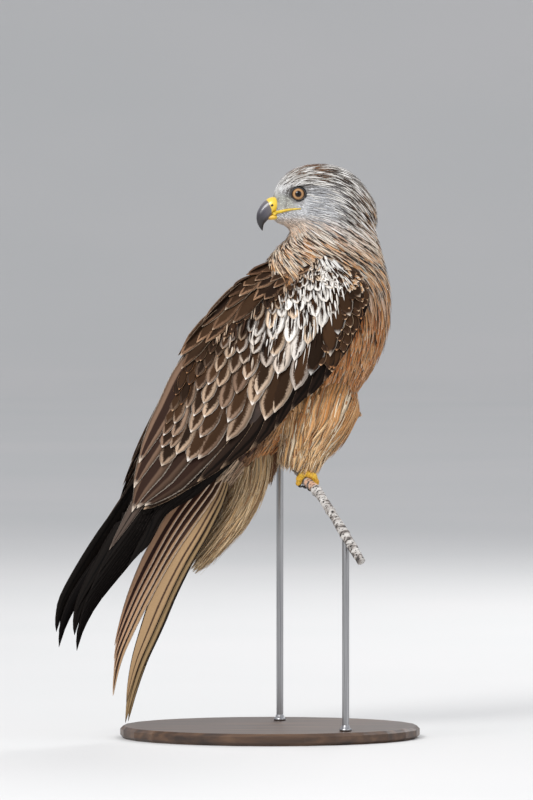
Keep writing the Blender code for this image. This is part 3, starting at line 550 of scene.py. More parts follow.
class Plumage:
    """Vanes gathered in arrays, then made into one mesh."""

    def __init__(self):
        self.parts = []

    def add(self, spots, leans, widths, lifts, tone, core, edge, mark, form=(0.12, 0.0, 0.0), sharp=0.6,
            crown=0.12, columns=3, thick=0.16, tilt=0.0, full_at=0.28, taper=0.45, hand=1, cell=None):
        """tone, core and edge are colours; mark is the core's width, where it tapers and the rim's width;
        form is the rim at the tip, how much the vane pales to its tip and how far its core stands aside;
        cell is the first place and the number a side of a grid of patches, for vanes that need one."""
        n, rows = spots.shape[:2]
        f = np.linspace(0, 1, rows)
        run = unit(np.gradient(spots, axis=1))
        side = unit(np.cross(leans, run)) * hand
        normal = unit(np.cross(run, side)) * hand
        shape = vane_width(f, sharp, full_at, taper)
        half = np.broadcast_to(np.asarray(widths, float), (n,))[:, None] / 2 * shape[None]
        across = np.linspace(-1, 1, columns)
        centre = spots + normal * lifts[..., None]
        rise = tilt * across - crown * across ** 2
        top = (centre[:, :, None] + side[:, :, None] * (half[..., None] * across)[..., None]
               + normal[:, :, None] * (half[..., None] * rise)[..., None])
        keel = centre - normal * thick
        points = np.concatenate([top, keel[:, :, None]], 2)
        paint = [np.broadcast_to(np.asarray(value, float), (n, 3))
                 for value in (tone, core, edge, mark, form)]
        self.parts.append((points, f, across, paint, hand, cell))
        return self

    def object(self, name, look, slot, *nodes):
        """One joined mesh: each vane is a closed strip with a keel under it."""
        painted = ("tone", "core", "edge", "mark", "form")
        stacks = {label: [] for label in ("points", "faces", "span", "uv", *painted)}
        base = 0
        for points, f, across, paint, hand, cell in self.parts:
            n, rows, wide = points.shape[:3]
            grid = np.arange(rows * wide).reshape(rows, wide)
            quads = []
            for c in range(wide):
                d = (c + 1) % wide
                quads.append(np.stack([grid[:-1, c], grid[:-1, d], grid[1:, d], grid[1:, c]][::hand], -1))
            quads = np.concatenate([q.reshape(-1, 4) for q in quads])
            offset = base + np.arange(n)[:, None, None] * (rows * wide)
            stacks["faces"].append((quads[None] + offset).reshape(-1, 4))
            stacks["points"].append(points.reshape(-1, 3))
            base += n * rows * wide
            u = np.concatenate([across, [0.0]])
            span = np.zeros((n, rows, wide, 3))
            span[..., 0] = u * hand
            span[..., 1] = f[None, :, None]
            span[..., 2] = chance.random(n)[:, None, None]
            stacks["span"].append(span.reshape(-1, 3))
            for label, value in zip(painted, paint):
                stacks[label].append(np.repeat(value, rows * wide, 0))
            uv = np.zeros((n, rows, wide, 2))
            if cell:
                order = np.arange(n) + cell[0]
                size = CELL_FILL / cell[1]
                corner = np.stack([order % cell[1], order // cell[1]], -1) / cell[1]
            else:
                root = points[:, 0, 0]
                size = PATCH * MM
                turn = np.arctan2(root[:, 1] - MIDPLANE_Y, root[:, 0] - MIDPLANE_X) / (2 * np.pi) + 0.5
                corner = np.stack([turn, root[:, 2] / UNWRAP_RISE], -1)
            uv[..., 0] = corner[:, 0, None, None] + (u * 0.5 + 0.5) * size
            uv[..., 1] = corner[:, 1, None, None] + f[None, :, None] * size
            stacks["uv"].append(np.clip(uv.reshape(-1, 2), 0, 1))
        stacks = {label: np.concatenate(rows) for label, rows in stacks.items()}
        faces = stacks["faces"]
        mesh = bpy.data.meshes.new(name)
        mesh.vertices.add(len(stacks["points"]))
        mesh.vertices.foreach_set("co", (stacks["points"] * MM).ravel())
        mesh.loops.add(faces.size)
        mesh.loops.foreach_set("vertex_index", faces.ravel())
        mesh.polygons.add(len(faces))
        mesh.polygons.foreach_set("loop_start", np.arange(0, faces.size, 4))
        mesh.update(calc_edges=True)
        mesh.polygons.foreach_set("use_smooth", np.ones(len(faces), bool))
        made = added(name, mesh)
        for label in ("span", *painted):
            carry(made, label, stacks[label])
        mesh.uv_layers.new(name="OFBake").data.foreach_set("uv", stacks["uv"][faces.ravel()].ravel())
        mesh.materials.append(look.material)
        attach(made, "root")
        if nodes:
            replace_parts(made, *nodes)


def feather_look(name, roughness=0.7, softness=0.1, barb=0.25, wave=0.3, gloss=0.2):
    """Vanes with their own tone, a dark core or shaft streak, a pale rim, and fine barbs."""
    look = Look(name, roughness, Specular_IOR_Level=gloss)
    across, length, luck = look.channels("span")
    core_width, taper, rim = look.channels("mark")
    rim_tip, fade, lean = look.channels("form")
    wavy = look.noise(650.0, 2.0) - 0.5
    off_shaft = abs(across - lean * (1 - length)) + wavy * wave
    reach = core_width * (1 - length.step(taper, 1.03))
    core = off_shaft.step(reach - softness, reach + softness, 1.0, 0.0) * core_width.step(0.01, 0.05)
    at_side = (abs(across) + wavy * 0.12).step(1 - rim - 0.06, 1 - rim + 0.06)
    at_tip = (length + wavy * 0.05).step(1 - rim_tip - 0.04, 1 - rim_tip + 0.04)
    border = at_side.most(at_tip) * rim.step(0.005, 0.03)
    shade = look.blend(core, look.attribute("tone"), look.attribute("core"))
    shade = look.blend(border, shade, look.attribute("edge"))
    fine = look.noise(1500.0, 1.0) - 0.5
    lit = look.node("ShaderNodeHueSaturation", None, Color=shade,
                    Value=0.88 + luck * 0.24 + fade * length + fine * 0.22)
    look.colour(lit)
    barbs = look.node("ShaderNodeMath", {"operation": "SINE"}, (abs(across) * 1.1 + length * 6.0) * 40.0)
    look.bump(barbs, barb, 0.00012)
    return look


CHOCOLATE = np.array((0.048, 0.025, 0.018))
RUSTY_RIM = (0.45, 0.24, 0.12)


def spread_tone(low, high, f):
    """Colours between two, one for each share."""
    return mix(np.asarray(low, float), np.asarray(high, float), np.asarray(f, float)[..., None])


def over(colours, share, colour):
    """One colour laid over many by a share for each."""
    return mix(colours, np.asarray(colour, float), share[:, None])


def by_share(sizes, *shares):
    """A size that goes from the first to each next one by that one's share."""
    size = sizes[0]
    for following, share in zip(sizes[1:], shares):
        size = mix(size, following, share)
    return size


def eye_centre(node):
    low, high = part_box(node)
    return np.array((low + high) / 2) / MM


EYES = [eye_centre("eye_l"), eye_centre("eye_r")]
EYE_AHEAD, EYE_HEIGHT = 31.2, 543.7
EYE_CLEAR = 8.3
BILL_BASE = 51.6


def body_flow(points, normals):
    """The lie of the coat: back over the head, wound round the neck as it turns, and down the body."""
    ahead, z = head_local(points)
    over_head = -HEAD_FORWARD - UP * (0.12 + 1.1 * eased(-ahead, -18, 48))[:, None]
    under = eased(518 - z, 0, 16) * eased(ahead, 10, 40)
    over_head = over_head - UP * (1.3 * under)[:, None]
    for eye in EYES:
        gap = points - eye
        reach = np.linalg.norm(gap, axis=1, keepdims=True)
        over_head = over_head + gap / reach * 1.6 * np.exp(-np.maximum(reach - 7.5, 0) / 3.0)
    round_body = unit(np.cross(normals, UP))
    wind = 1.25 * eased(z, 418, 492)
    neck = -UP - round_body * wind[:, None]
    down = -UP - FORWARD * (0.35 * eased(440 - z, 0, 120))[:, None]
    neck_share = eased(z, 405, 460)[:, None]
    head_share = eased(z, 497, 530)[:, None]
    low = unit(down) * (1 - neck_share) + unit(neck) * neck_share
    return unit(low) * (1 - head_share) + unit(over_head) * head_share


def coat_allowed(points):
    """Not on the bill or the eyes, and not far from the solids of head, neck and torso."""
    ahead, height = head_local(points)
    clear = ~((height > 500) & (ahead > BILL_BASE))
    for eye in EYES:
        clear &= np.linalg.norm(points - eye, axis=1) > EYE_CLEAR
    far = np.array([trunk_tree.find_nearest(Vector(p), 6.0)[0] is None for p in points])
    return clear & ~far


def coat_zones(points):
    """Place on the head, shares of face, head, neck and back, and the distance to the nearer eye."""
    ahead, height = head_local(points)
    face = eased(ahead, -2, 38) * eased(height, 498, 518)
    head = eased(height, 500, 526)
    neck = eased(height, 436, 480) * (1 - head)
    behind = (points - MIDPLANE) @ FORWARD
    axis_line = 26 + 10 * eased(height, 400, 500) - 50 * eased(400 - height, 0, 130)
    rear = eased(axis_line - behind, 20, 42) * (1 - eased(height, 450, 482))
    to_eye = np.min([np.linalg.norm(points - eye, axis=1) for eye in EYES], 0)
    return ahead, height, face, head, neck, rear, to_eye


def coat_tones(zones, luck):
    """The coat's ground colour: rufous breast, cream neck with orange, pale grey head, brown mantle."""
    ahead, height, face, head_share, neck_share, rear, to_eye = zones
    breast = spread_tone((0.50, 0.175, 0.05), (0.62, 0.34, 0.15),
                         luck * 0.8 + 0.25 * eased(-height, -390, -320))
    neck = spread_tone((0.80, 0.72, 0.61), (0.62, 0.29, 0.10), luck ** 1.4)
    tone = mix(breast, neck, eased(height, 430, 478)[:, None])
    crown = spread_tone((0.60, 0.56, 0.50), (0.84, 0.82, 0.79), luck)
    nape = eased(-ahead, 6, 40) * (1 - eased(height, 536, 566))
    crown = mix(crown, spread_tone((0.74, 0.66, 0.55), (0.60, 0.32, 0.14), luck ** 1.4), nape[:, None])
    cheek = spread_tone((0.62, 0.63, 0.65), (0.84, 0.84, 0.85), luck)
    head = mix(crown, cheek, (eased(ahead, -12, 16) * eased(558 - height, 0, 12))[:, None])
    forehead = eased(ahead, 36, 45) * eased(height, 542, 549)
    head = over(head, forehead * 0.8, (0.90, 0.89, 0.87))
    lore = eased(ahead, 32, 41) * eased(height, 526, 532) * eased(546 - height, 0, 6)
    head = over(head, lore * 0.8, (0.44, 0.44, 0.38))
    chin = eased(ahead, 4, 26) * eased(524 - height, 0, 8)
    head = over(head, chin * 0.8, spread_tone((0.60, 0.45, 0.35), (0.72, 0.62, 0.53), luck))
    tone = over(tone, head_share, head)
    past, above = ahead - EYE_AHEAD, height - EYE_HEIGHT
    front = eased(past, 4, 7) * (1 - eased(past, 10, 17)) * (1 - eased(abs(above - 1.0), 2.0, 5.5))
    brow = 1 - eased(abs(above - 7.0 + 0.24 * past), 0.9, 2.5)
    brow = brow * eased(past, -12, -7) * (1 - eased(past, 8, 14))
    behind_eye = (1 - eased(abs(above - 2.5), 0.9, 3.0)) * eased(-past, 5, 8) * (1 - eased(-past, 15, 25))
    smudge = np.maximum(np.maximum(front, brow), np.maximum(behind_eye * 0.85, 1 - eased(to_eye, 7.6, 9.2)))
    tone = over(tone, smudge * 0.93 * head_share, (0.040, 0.030, 0.025))
    return over(tone, rear, CHOCOLATE * 1.5)


skin_now = np.array([v.co for v in skin.data.vertices]) / MM
skin_zones = coat_zones(skin_now)
face, head_share, neck_share = skin_zones[2:5]
# The skin carries the coat's markings darkened to 0.62 of their tone. This is painted shade where the skin shows
# between the feathers, under soft darker clouds.
carry(skin, "tone", coat_tones(skin_zones, np.full(len(skin_now), 0.4)) * 0.62)
skin_look.colour(skin_look.blend(
    skin_look.noise(160.0).step(0.4, 0.7, 0.0, 0.5), skin_look.attribute("tone"), (0.07, 0.05, 0.04)))
streak_room = by_share(STREAK_SPACING, neck_share, head_share)
roots, root_normals = scattered(skin, by_share(COAT_SPACING, neck_share, head_share, face), coat_allowed)
zones = coat_zones(roots)
ahead, height, face, head_share, neck_share, rear, to_eye = zones
count = len(roots)
coat_lengths = by_share(COAT_LENGTH, neck_share, head_share, face) * chance.uniform(0.8, 1.15, count)
coat_widths = by_share(COAT_WIDTH, neck_share, head_share, face) * chance.uniform(0.8, 1.2, count)
before_eye = (ahead > EYE_AHEAD) & (abs(height - EYE_HEIGHT) < 7)
coat_lengths = np.where(before_eye, np.minimum(coat_lengths, np.maximum(to_eye - 6.6, 1.6)), coat_lengths)
spots, leans = laid_over(skin_tree, roots, root_normals, body_flow, coat_lengths, VANE_STATIONS)
f = np.linspace(0, 1, VANE_STATIONS)
rise = by_share(COAT_RISE, neck_share, head_share, face) * chance.uniform(0.7, 1.25, count)
lifts = -0.3 + rise[:, None] * f[None] ** 1.2

# Dark shaft streaks, wide on the crown and thin on the breast, and pale rims.
luck = chance.random(count)
tone = coat_tones(zones, luck)
fore_crown = eased(ahead, 4, 14) * (1 - eased(ahead, 34, 42)) * eased(height, 556, 564)
tone = over(tone, fore_crown * (luck > 0.5), (0.34, 0.17, 0.08))
tone = tone * chance.uniform(0.88, 1.1, (count, 1))
core_width = by_share((0.13, 0.22, 0.16), neck_share, head_share) * chance.uniform(0.5, 1.4, count)
core_width *= 1 - 0.85 * eased(face, 0.3, 0.85) * (1 - eased(height, 552, 562) * 0.8)
core_width = mix(core_width, 0.6, fore_crown * (luck > 0.25))
rim_width = by_share((0.20, 0.26, 0.10), neck_share, head_share) * chance.uniform(0.3, 1.3, count)
rim_width *= 1 - eased(face, 0.1, 0.6)
edge = spread_tone((0.62, 0.44, 0.27), (0.76, 0.67, 0.56), luck)
edge = over(edge, head_share * 0.8, (0.74, 0.72, 0.69))
edge = over(edge, rear, RUSTY_RIM)
core = spread_tone((0.022, 0.014, 0.010), (0.07, 0.035, 0.018), luck ** 2)
core = over(core, eased(face, 0.3, 0.9) * 0.7, (0.16, 0.15, 0.14))
mark = np.stack([core_width, mix(0.7, 0.75, head_share), rim_width], 1)
form = np.stack([rim_width * 0.25, chance.uniform(-0.08, 0.12, count), chance.uniform(-0.15, 0.15, count)], 1)
coat_look = feather_look("body_feathers")
for name, mask, slot in (
    ("head_feathers", height > HEAD_BORDER, "head_plumage"),
    ("neck_feathers", (height <= HEAD_BORDER) & (height > NECK_BORDER), "neck_plumage"),
    ("body_feathers", height <= NECK_BORDER, "body_plumage"),
):
    own = (part[mask] for part in (spots, leans, coat_widths, lifts, tone, core, edge, mark, form))
    Plumage().add(*own, sharp=0.7).object(name, coat_look, slot)


# Long fine barbs that stand out on crown, nape and neck: dark ones along the shafts, pale ones between.
def streaks_allowed(points):
    """Not on the bare-looking skin between eye and bill, and not low on the body."""
    ahead, height = head_local(points)
    lore = (ahead > 26) & (height > 500) & (height < 551)
    return coat_allowed(points) & (height > 400) & ~lore


roots, root_normals = scattered(skin, streak_room, streaks_allowed)
ahead, height, face, head_share, neck_share, rear, to_eye = coat_zones(roots)
front_end = eased(ahead, 22, 42) * head_share
plain_cheek = eased(ahead, -14, 6) * head_share * (1 - eased(height, 546, 556))
count = len(roots)
lengths = by_share(STREAK_LENGTH, neck_share, head_share, front_end) * chance.uniform(0.75, 1.3, count)
widths = by_share(STREAK_WIDTH, neck_share, head_share, front_end) * chance.uniform(0.7, 1.35, count)
widths = widths * mix(1.0, 0.7, plain_cheek)
spots, leans = laid_over(skin_tree, roots, root_normals, body_flow, lengths, VANE_STATIONS)
high = by_share(STREAK_RISE, neck_share, head_share) * chance.uniform(0.85, 1.15, count)
low = mix(0.9, 0.5, front_end)
high = mix(high, 1.0, np.maximum(front_end, plain_cheek))
luck = chance.random(count)
dark = spread_tone((0.020, 0.012, 0.009), (0.085, 0.042, 0.022), chance.random(count) ** 2)
brown = spread_tone((0.20, 0.09, 0.04), (0.34, 0.17, 0.08), luck)
fore_crown = eased(ahead, 2, 12) * (1 - eased(ahead, 36, 44)) * eased(height, 558, 566)
dark = over(dark, fore_crown * 0.7, brown)
dark = over(dark, plain_cheek, spread_tone((0.36, 0.36, 0.38), (0.56, 0.56, 0.57), luck))
pale = spread_tone((0.78, 0.74, 0.68), (0.90, 0.88, 0.86), luck)
pale = over(pale, 1 - eased(height, 470, 520), spread_tone((0.80, 0.62, 0.42), (0.66, 0.33, 0.13), luck))
is_dark = (chance.random(count) < mix(0.5, 0.6, head_share)) & (rear < 0.5)
tone = np.where(is_dark[:, None], dark, pale)
tone = np.where((rear > 0.5)[:, None], (0.30, 0.16, 0.08), tone)
lifts = low[:, None] + (high - low)[:, None] * f[None]
# the mark and form of barbs with neither core nor rim
ONE_TONE = ((0.0, 0.8, 0.0), (0.0, 0.0, 0.0))
Plumage().add(spots, leans, widths, lifts, tone, tone, tone, *ONE_TONE, sharp=0.95, crown=0.1, thick=0.1,
              ).object("neck_streaks", coat_look, "neck_plumage")

# Wings.
# Two folded wings, each a covered arm and hand. The coverts lie in tiers over the dark secondaries,
# the scapulars run down the back, and the long black primaries reach past the inner feathers.
WING_TOP = (
    (34, 486, 8), (2, 474, 4), (-20, 461, 2.5), (-33, 450, 2), (-54, 426, 2), (-73, 402, 2),
    (-95, 371, 2.5), (-110, 333, 4), (-127, 293, 7), (-137, 258, 12), (-140, 224, 18),
)
WING_EDGE = (
    (74, 480, 44), (100, 450, 64), (93, 421, 71), (77, 387, 72), (52, 352, 68), (27, 330, 62),
    (1, 299, 56), (-44, 268, 50), (-79, 249, 44), (-109, 237, 38), (-134, 227, 34),
)
SHOULDER_BULGE = 13.0
BULGE_REACH = 0.35
HAND_TOP = (
    (-58, 372, 20), (-80, 335, 16), (-104, 292, 17), (-130, 248, 19), (-152, 212, 23), (-176, 171, 27),
    (-192, 138, 30), (-196, 112, 31), (-192, 92, 32),
)
HAND_EDGE = (
    (-10, 308, 46), (-42, 278, 40), (-74, 252, 37), (-104, 230, 34), (-119, 198, 34), (-136, 176, 34),
    (-160, 146, 33), (-178, 116, 32), (-188, 92, 32),
)
WING_SPAN = 335.0
SCAPULAR_LINE = (0.42, 0.38, 0.33, 0.27, 0.2, 0.14, 0.1, 0.08, 0.07)
COVERT_LINE = (0.9, 0.9, 0.89, 0.88, 0.87, 0.87, 0.84, 0.74, 0.52)
LINE_END = 0.8
PRIMARIES, PRIMARY_STATIONS = 9, 18
SECONDARIES, SECONDARY_STATIONS = 12, 14
# share from the scapulars to the secondaries, length, width, first and last s of the tips
COVERT_ROWS = (
    (1.00, 62, 21.0, 0.15, 0.84), (0.74, 48, 19.0, 0.12, 0.83), (0.55, 38, 17.0, 0.10, 0.81),
    (0.40, 32, 15.0, 0.09, 0.79), (0.26, 27, 13.0, 0.08, 0.77), (0.14, 23, 11.0, 0.07, 0.74),
    (0.03, 19, 9.5, 0.06, 0.68),
)
# The small feathers of the shoulder and those along the leading edge count as two more rows.
SHOULDER, SHOULDER_ROWS, SHOULDER_FEATHERS = 8, 15, 9
LEADING, LEADING_ROWS, LEADING_FEATHERS = 9, (0.87, 0.93, 0.985), 13
FRAYS = 330
SCAPULAR_ROWS = 9
WHITE = np.array((0.70, 0.66, 0.61))


class Panel(Form):
    """A bowed sheet between a top edge and a lower edge, each of seen x, height and distance out."""

    def __init__(self, top, edge, bulge=0.0):
        self.top = top
        self.edge = edge
        self.bulge = bulge

    def point(self, s, t):
        s, t = np.broadcast_arrays(np.asarray(s, float), np.asarray(t, float))
        a, b = along(self.top, s), along(self.edge, s)
        bow = np.sin(np.clip(t, -0.3, 1.3) * np.pi / 2)
        swell = self.bulge * np.maximum(1 - s / BULGE_REACH, 0) * np.sin(np.pi * np.clip(t, 0, 1))
        return place(mix(a[..., 0], b[..., 0], t), mix(a[..., 1], b[..., 1], t),
                     mix(a[..., 2], b[..., 2], bow) + swell)

    def slab(self, s_range, t_range, lift, depth, rows, columns, flip):
        """A closed slab under the sheet."""
        s, t = np.meshgrid(np.linspace(*s_range, rows), np.linspace(*t_range, columns), indexing="ij")
        rim = np.ones((rows, columns))
        rim[1:-1, 1:-1] = 0
        spot, normal = self.point(s, t), self.normal(s, t)
        outer = spot + normal * (lift - depth * 0.3 * rim)[..., None]
        inner = spot + normal * (lift - depth * (1 - 0.4 * rim))[..., None]
        points = np.concatenate([outer.reshape(-1, 3), inner.reshape(-1, 3)])
        if flip:
            points = mirror(points)
        base = rows * columns
        faces = []
        for r in range(rows - 1):
            for c in range(columns - 1):
                a, b, d = r * columns + c, r * columns + c + 1, (r + 1) * columns + c
                faces += [(a, b, d + 1, d), (base + a, base + d, base + d + 1, base + b)]
        loop = list(range(columns)) + [r * columns + columns - 1 for r in range(1, rows)]
        loop += [(rows - 1) * columns + c for c in range(columns - 2, -1, -1)]
        loop += [r * columns for r in range(rows - 2, 0, -1)]
        faces += [(a, base + a, base + b, b) for a, b in zip(loop, loop[1:] + loop[:1])]
        return points, faces


def tier(sheet, root, tip, low, high, stations):
    """Centre lines, normals and rising lifts of vanes on a sheet, from roots to tips that are pairs of s and t."""
    f = np.linspace(0, 1, stations)[None]
    pair = root[:, None] * (1 - f[..., None]) + tip[:, None] * f[..., None]
    s, t = np.clip(pair[..., 0], 0, 0.998), pair[..., 1]
    low, high = (np.broadcast_to(lift, len(root))[:, None] for lift in (low, high))
    return sheet.point(s, t), sheet.normal(s, t), low + (high - low) * f


wing_sheet = Panel(WING_TOP, WING_EDGE, SHOULDER_BULGE)
hand_sheet = Panel(HAND_TOP, HAND_EDGE)
wing_look = feather_look("wing_feathers", 0.7, softness=0.2, barb=0.35, wave=0.5, gloss=0.06)
flight_look = feather_look("flight_feathers", 0.6, softness=0.08, barb=0.4, wave=0.06, gloss=0.03)
quill_look = Look("wing_skin", 0.8).mottled(60.0, (0.018, 0.011, 0.008), (0.06, 0.035, 0.025))


def line(table, s):
    """A boundary across the wing at each s."""
    return np.interp(s, np.linspace(0, LINE_END, len(table)), table)


def covert_tiers(luck):
    """The tip's s and t, length, width, share and row of each covert of one wing."""
    table = []
    for number, (share, length, width, first, last) in enumerate(COVERT_ROWS):
        spacing = width * 0.98
        n = int((last - first) * WING_SPAN / spacing)
        s = first + (np.arange(n) + 0.5 * (number % 2) + luck.uniform(-0.2, 0.2, n)) / n * (last - first)
        shrink = mix(0.62, 1.0, eased(s, 0.08, 0.34))
        t = mix(line(SCAPULAR_LINE, s), line(COVERT_LINE, s), share + luck.uniform(-0.025, 0.025, n))
        table.append(np.stack([s, t, length * shrink * luck.uniform(0.92, 1.08, n),
                               width * mix(0.72, 1.0, eased(s, 0.08, 0.3)) * luck.uniform(0.92, 1.08, n),
                               np.full(n, share), np.full(n, number)], 1))
    n = SHOULDER_FEATHERS
    for share in np.linspace(0.02, 0.94, SHOULDER_ROWS):
        s = 0.015 + 0.085 * (np.arange(n) + luck.uniform(0, 1, n)) / n
        t = mix(line(SCAPULAR_LINE, s) * 0.9, 0.97, share + luck.uniform(-0.03, 0.03, n))
        table.append(np.stack([s + 0.035, t, luck.uniform(16, 25, n), luck.uniform(5, 8.5, n),
                               np.full(n, share), np.full(n, SHOULDER)], 1))
    n = LEADING_FEATHERS
    for t_row in LEADING_ROWS:
        s = 0.05 + 0.33 * (np.arange(n) + luck.uniform(0, 0.6, n)) / n
        table.append(np.stack([s, np.full(n, t_row), luck.uniform(18, 25, n), luck.uniform(9, 12, n),
                               np.full(n, 1.0), np.full(n, LEADING)], 1))
    return np.concatenate(table)


def dress_wing(side, flip):
    """All the feathers of one wing. Both wings have the same draws, so that they match."""
    luck = np.random.default_rng(SEED + 1)
    hand = -1 if flip else 1

    def put(plumage, root, tip, widths, low, high, stations, paint, sheet=wing_sheet, **more):
        root, tip = np.asarray(root, float), np.asarray(tip, float)
        spots, leans, lifts = tier(sheet, root, tip, low, high, stations)
        if flip:
            spots, leans = mirror(spots), mirror_turns(leans)
        plumage.add(spots, leans, widths, lifts, *paint, hand=hand, **more)

    core = mesh_object("wing_skin_" + side, *joined([
        wing_sheet.slab((0.02, 0.62), (0.03, 0.93), -2.8, 9.0, 24, 14, flip),
        hand_sheet.slab((0.02, 0.36), (0.1, 0.9), -2.4, 3.0, 10, 8, flip),
    ]), quill_look)
    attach(core, "root")

    # Primaries, from the inner ones on top to the outer ones beneath.
    flight = Plumage()
    primary = dict(sheet=hand_sheet, crown=0.08, columns=5, sharp=0.45, full_at=0.12)
    black, mark, form = (0.003, 0.003, 0.003), (0.10, 0.9, 0.05), (0.0, 0.0, 0.15)
    k = np.linspace(0, 1, PRIMARIES)
    root = np.stack([np.full(PRIMARIES, 0.1), mix(0.18, 0.82, k)], 1)
    tip = np.stack([mix(0.56, 0.995, k ** 0.85), mix(0.12, 0.5, k ** 0.8)], 1)
    tone = spread_tone((0.010, 0.008, 0.007), (0.004, 0.003, 0.003), k)
    tone[0] = (0.085, 0.062, 0.050)
    edge = np.tile((0.030, 0.024, 0.021), (PRIMARIES, 1))
    edge[0] = (0.40, 0.33, 0.27)
    level = 2.2 - 6.4 * k
    put(flight, root, tip, mix(17.0, 16.0, k), np.minimum(level, -2.0), level, PRIMARY_STATIONS,
        (tone, black, edge, mark, form), cell=(0, 8), **primary)
    # Three more fill the hand's lower edge, and two its top.
    put(flight, ((0.02, 0.72), (0.02, 0.84), (0.02, 0.94), (0.2, 0.1), (0.3, 0.05)),
        ((0.62, 0.86), (0.55, 0.95), (0.46, 1.02), (0.80, 0.06), (0.90, 0.2)), 16.0, -3.2,
        (-1.6, -1.8, -2.0, -2.4, -3.0), PRIMARY_STATIONS, (tone[1], black, edge[1], mark, form),
        cell=(30, 8), **primary)

    # Secondaries along the lower edge, black-brown with a thin buff fringe.
    k = np.linspace(0, 1, SECONDARIES)
    root = np.stack([mix(0.0, 0.56, k), mix(0.86, 0.62, k)], 1)
    tip = np.stack([mix(0.26, 0.955, k), mix(0.985, 0.86, k ** 2)], 1)
    tone = spread_tone((0.010, 0.006, 0.005), (0.028, 0.017, 0.012), k)
    edge = spread_tone((0.10, 0.06, 0.04), (0.46, 0.32, 0.21), k)
    put(flight, root, tip, mix(21.0, 24.0, k), -4.6, mix(-0.6, -2.2, k), SECONDARY_STATIONS,
        (tone, (0.007, 0.005, 0.004), edge, (0.22, 0.95, 0.045), (0.03, 0.0, 0.1)),
        crown=0.12, columns=5, sharp=0.4, full_at=0.15, tilt=-0.05, cell=(9, 8))

    # Inner feathers, brown with pale fringes, which close the wing towards the tail.
    root = ((0.46, 0.08), (0.46, 0.20), (0.47, 0.33), (0.48, 0.46), (0.5, 0.60))
    tip = ((0.84, 0.06), (0.91, 0.12), (0.985, 0.30), (0.965, 0.52), (0.94, 0.74))
    k = np.linspace(0, 1, len(root))
    tone = spread_tone((0.17, 0.105, 0.07), (0.055, 0.033, 0.023), k)
    put(flight, root, tip, (21, 25, 28, 27, 25), -3.4, mix(1.8, -1.0, k), SECONDARY_STATIONS,
        (tone, CHOCOLATE * 0.6, (0.68, 0.58, 0.48), (0.40, 0.9, 0.06), (0.03, 0.1, 0.15)),
        crown=0.1, columns=5, sharp=0.35, taper=0.3, full_at=0.2, cell=(24, 8))
    flight.object("flight_feathers_" + side, flight_look, "wing_plumage", "wing_" + side)

    # Coverts in tiers: white with dark wedges at the shoulder, tawny with pale rims below.
    coverts = Plumage()
    table = covert_tiers(luck)
    s, t, length, width, share, number = table.T
    n = len(table)
    fall = mix(0.165, 0.125, eased(s, 0.1, 0.62)) * (length / 34)
    run = length / WING_SPAN * mix(0.78, 0.93, eased(s, 0.1, 0.6))
    tip = np.stack([s, t], 1)
    root = np.stack([np.maximum(s - run, 0.0), t - fall], 1)
    order = np.argsort(number)
    shoulder, leading = number == SHOULDER, number == LEADING
    high = 1.7 - 0.5 * shoulder + luck.uniform(-0.3, 0.5, n)
    tip = tip + np.stack([luck.normal(0, 0.006, n), luck.normal(0, 0.012, n)], 1)
    pale = 1 - eased(s, 0.30, 0.56)
    pale *= mix(1.0, eased(share, 0.04, 0.26), eased(s, 0.10, 0.2))
    wrist = ((number == 0) & (s < 0.42)) | ((number == 1) & (s < 0.24))
    lot = luck.random(n)
    tawny = spread_tone((0.20, 0.125, 0.085), (0.50, 0.36, 0.25), lot)
    dusky = spread_tone((0.018, 0.010, 0.007), (0.065, 0.034, 0.020), lot)
    tawny = over(dusky, eased(share, 0.06, 0.34), tawny)
    white = WHITE * luck.uniform(0.95, 1.2, (n, 1))
    white = np.where((luck.random(n) < 0.22)[:, None], (0.66, 0.50, 0.36), white)
    tone = over(tawny, np.clip(pale * 1.15, 0, 1), white)
    tone = np.where((leading | wrist)[:, None], dusky, tone)
    outer = shoulder & (share > 0.66)
    tone = np.where(outer[:, None], spread_tone((0.58, 0.30, 0.12), (0.74, 0.58, 0.42), lot), tone)
    core = spread_tone((0.013, 0.007, 0.004), (0.050, 0.024, 0.011), luck.random(n))
    core_width = mix(0.62, 0.46, pale) * luck.uniform(0.6, 1.35, n)
    core_width = np.where((pale > 0.6) & (luck.random(n) < 0.16), 0.1, core_width)
    core_width = np.where(shoulder, luck.uniform(0.25, 0.7, n) + 0.2 * outer, core_width)
    core_width = np.where(leading | wrist, 0.9, core_width)
    taper = np.where(number == 0, 0.75, mix(0.62, 0.5, pale))
    rim = mix(0.07, 0.09, pale) * luck.uniform(0.5, 1.4, n)
    rim = np.where(wrist, 0.10, rim)
    edge = spread_tone((0.60, 0.47, 0.35), (0.84, 0.80, 0.75), luck.random(n))
    edge = np.where(wrist[:, None], edge * 0.62, edge)
    rusty = (leading | ((share < 0.2) & (pale < 0.5)))[:, None]
    edge = np.where(rusty, spread_tone((0.42, 0.19, 0.08), (0.62, 0.44, 0.28), lot), edge)
    paint = (tone, core, edge, np.stack([core_width, taper, rim], 1),
             np.stack([rim * 0.55, luck.uniform(-0.05, 0.2, n), luck.uniform(-0.3, 0.45, n)], 1))
    put(coverts, root[order], tip[order], width[order], -2.4, high[order], 9, [p[order] for p in paint],
        crown=0.18, columns=5, sharp=0.22, taper=0.30, full_at=0.3, tilt=0.08, cell=(0, 24))

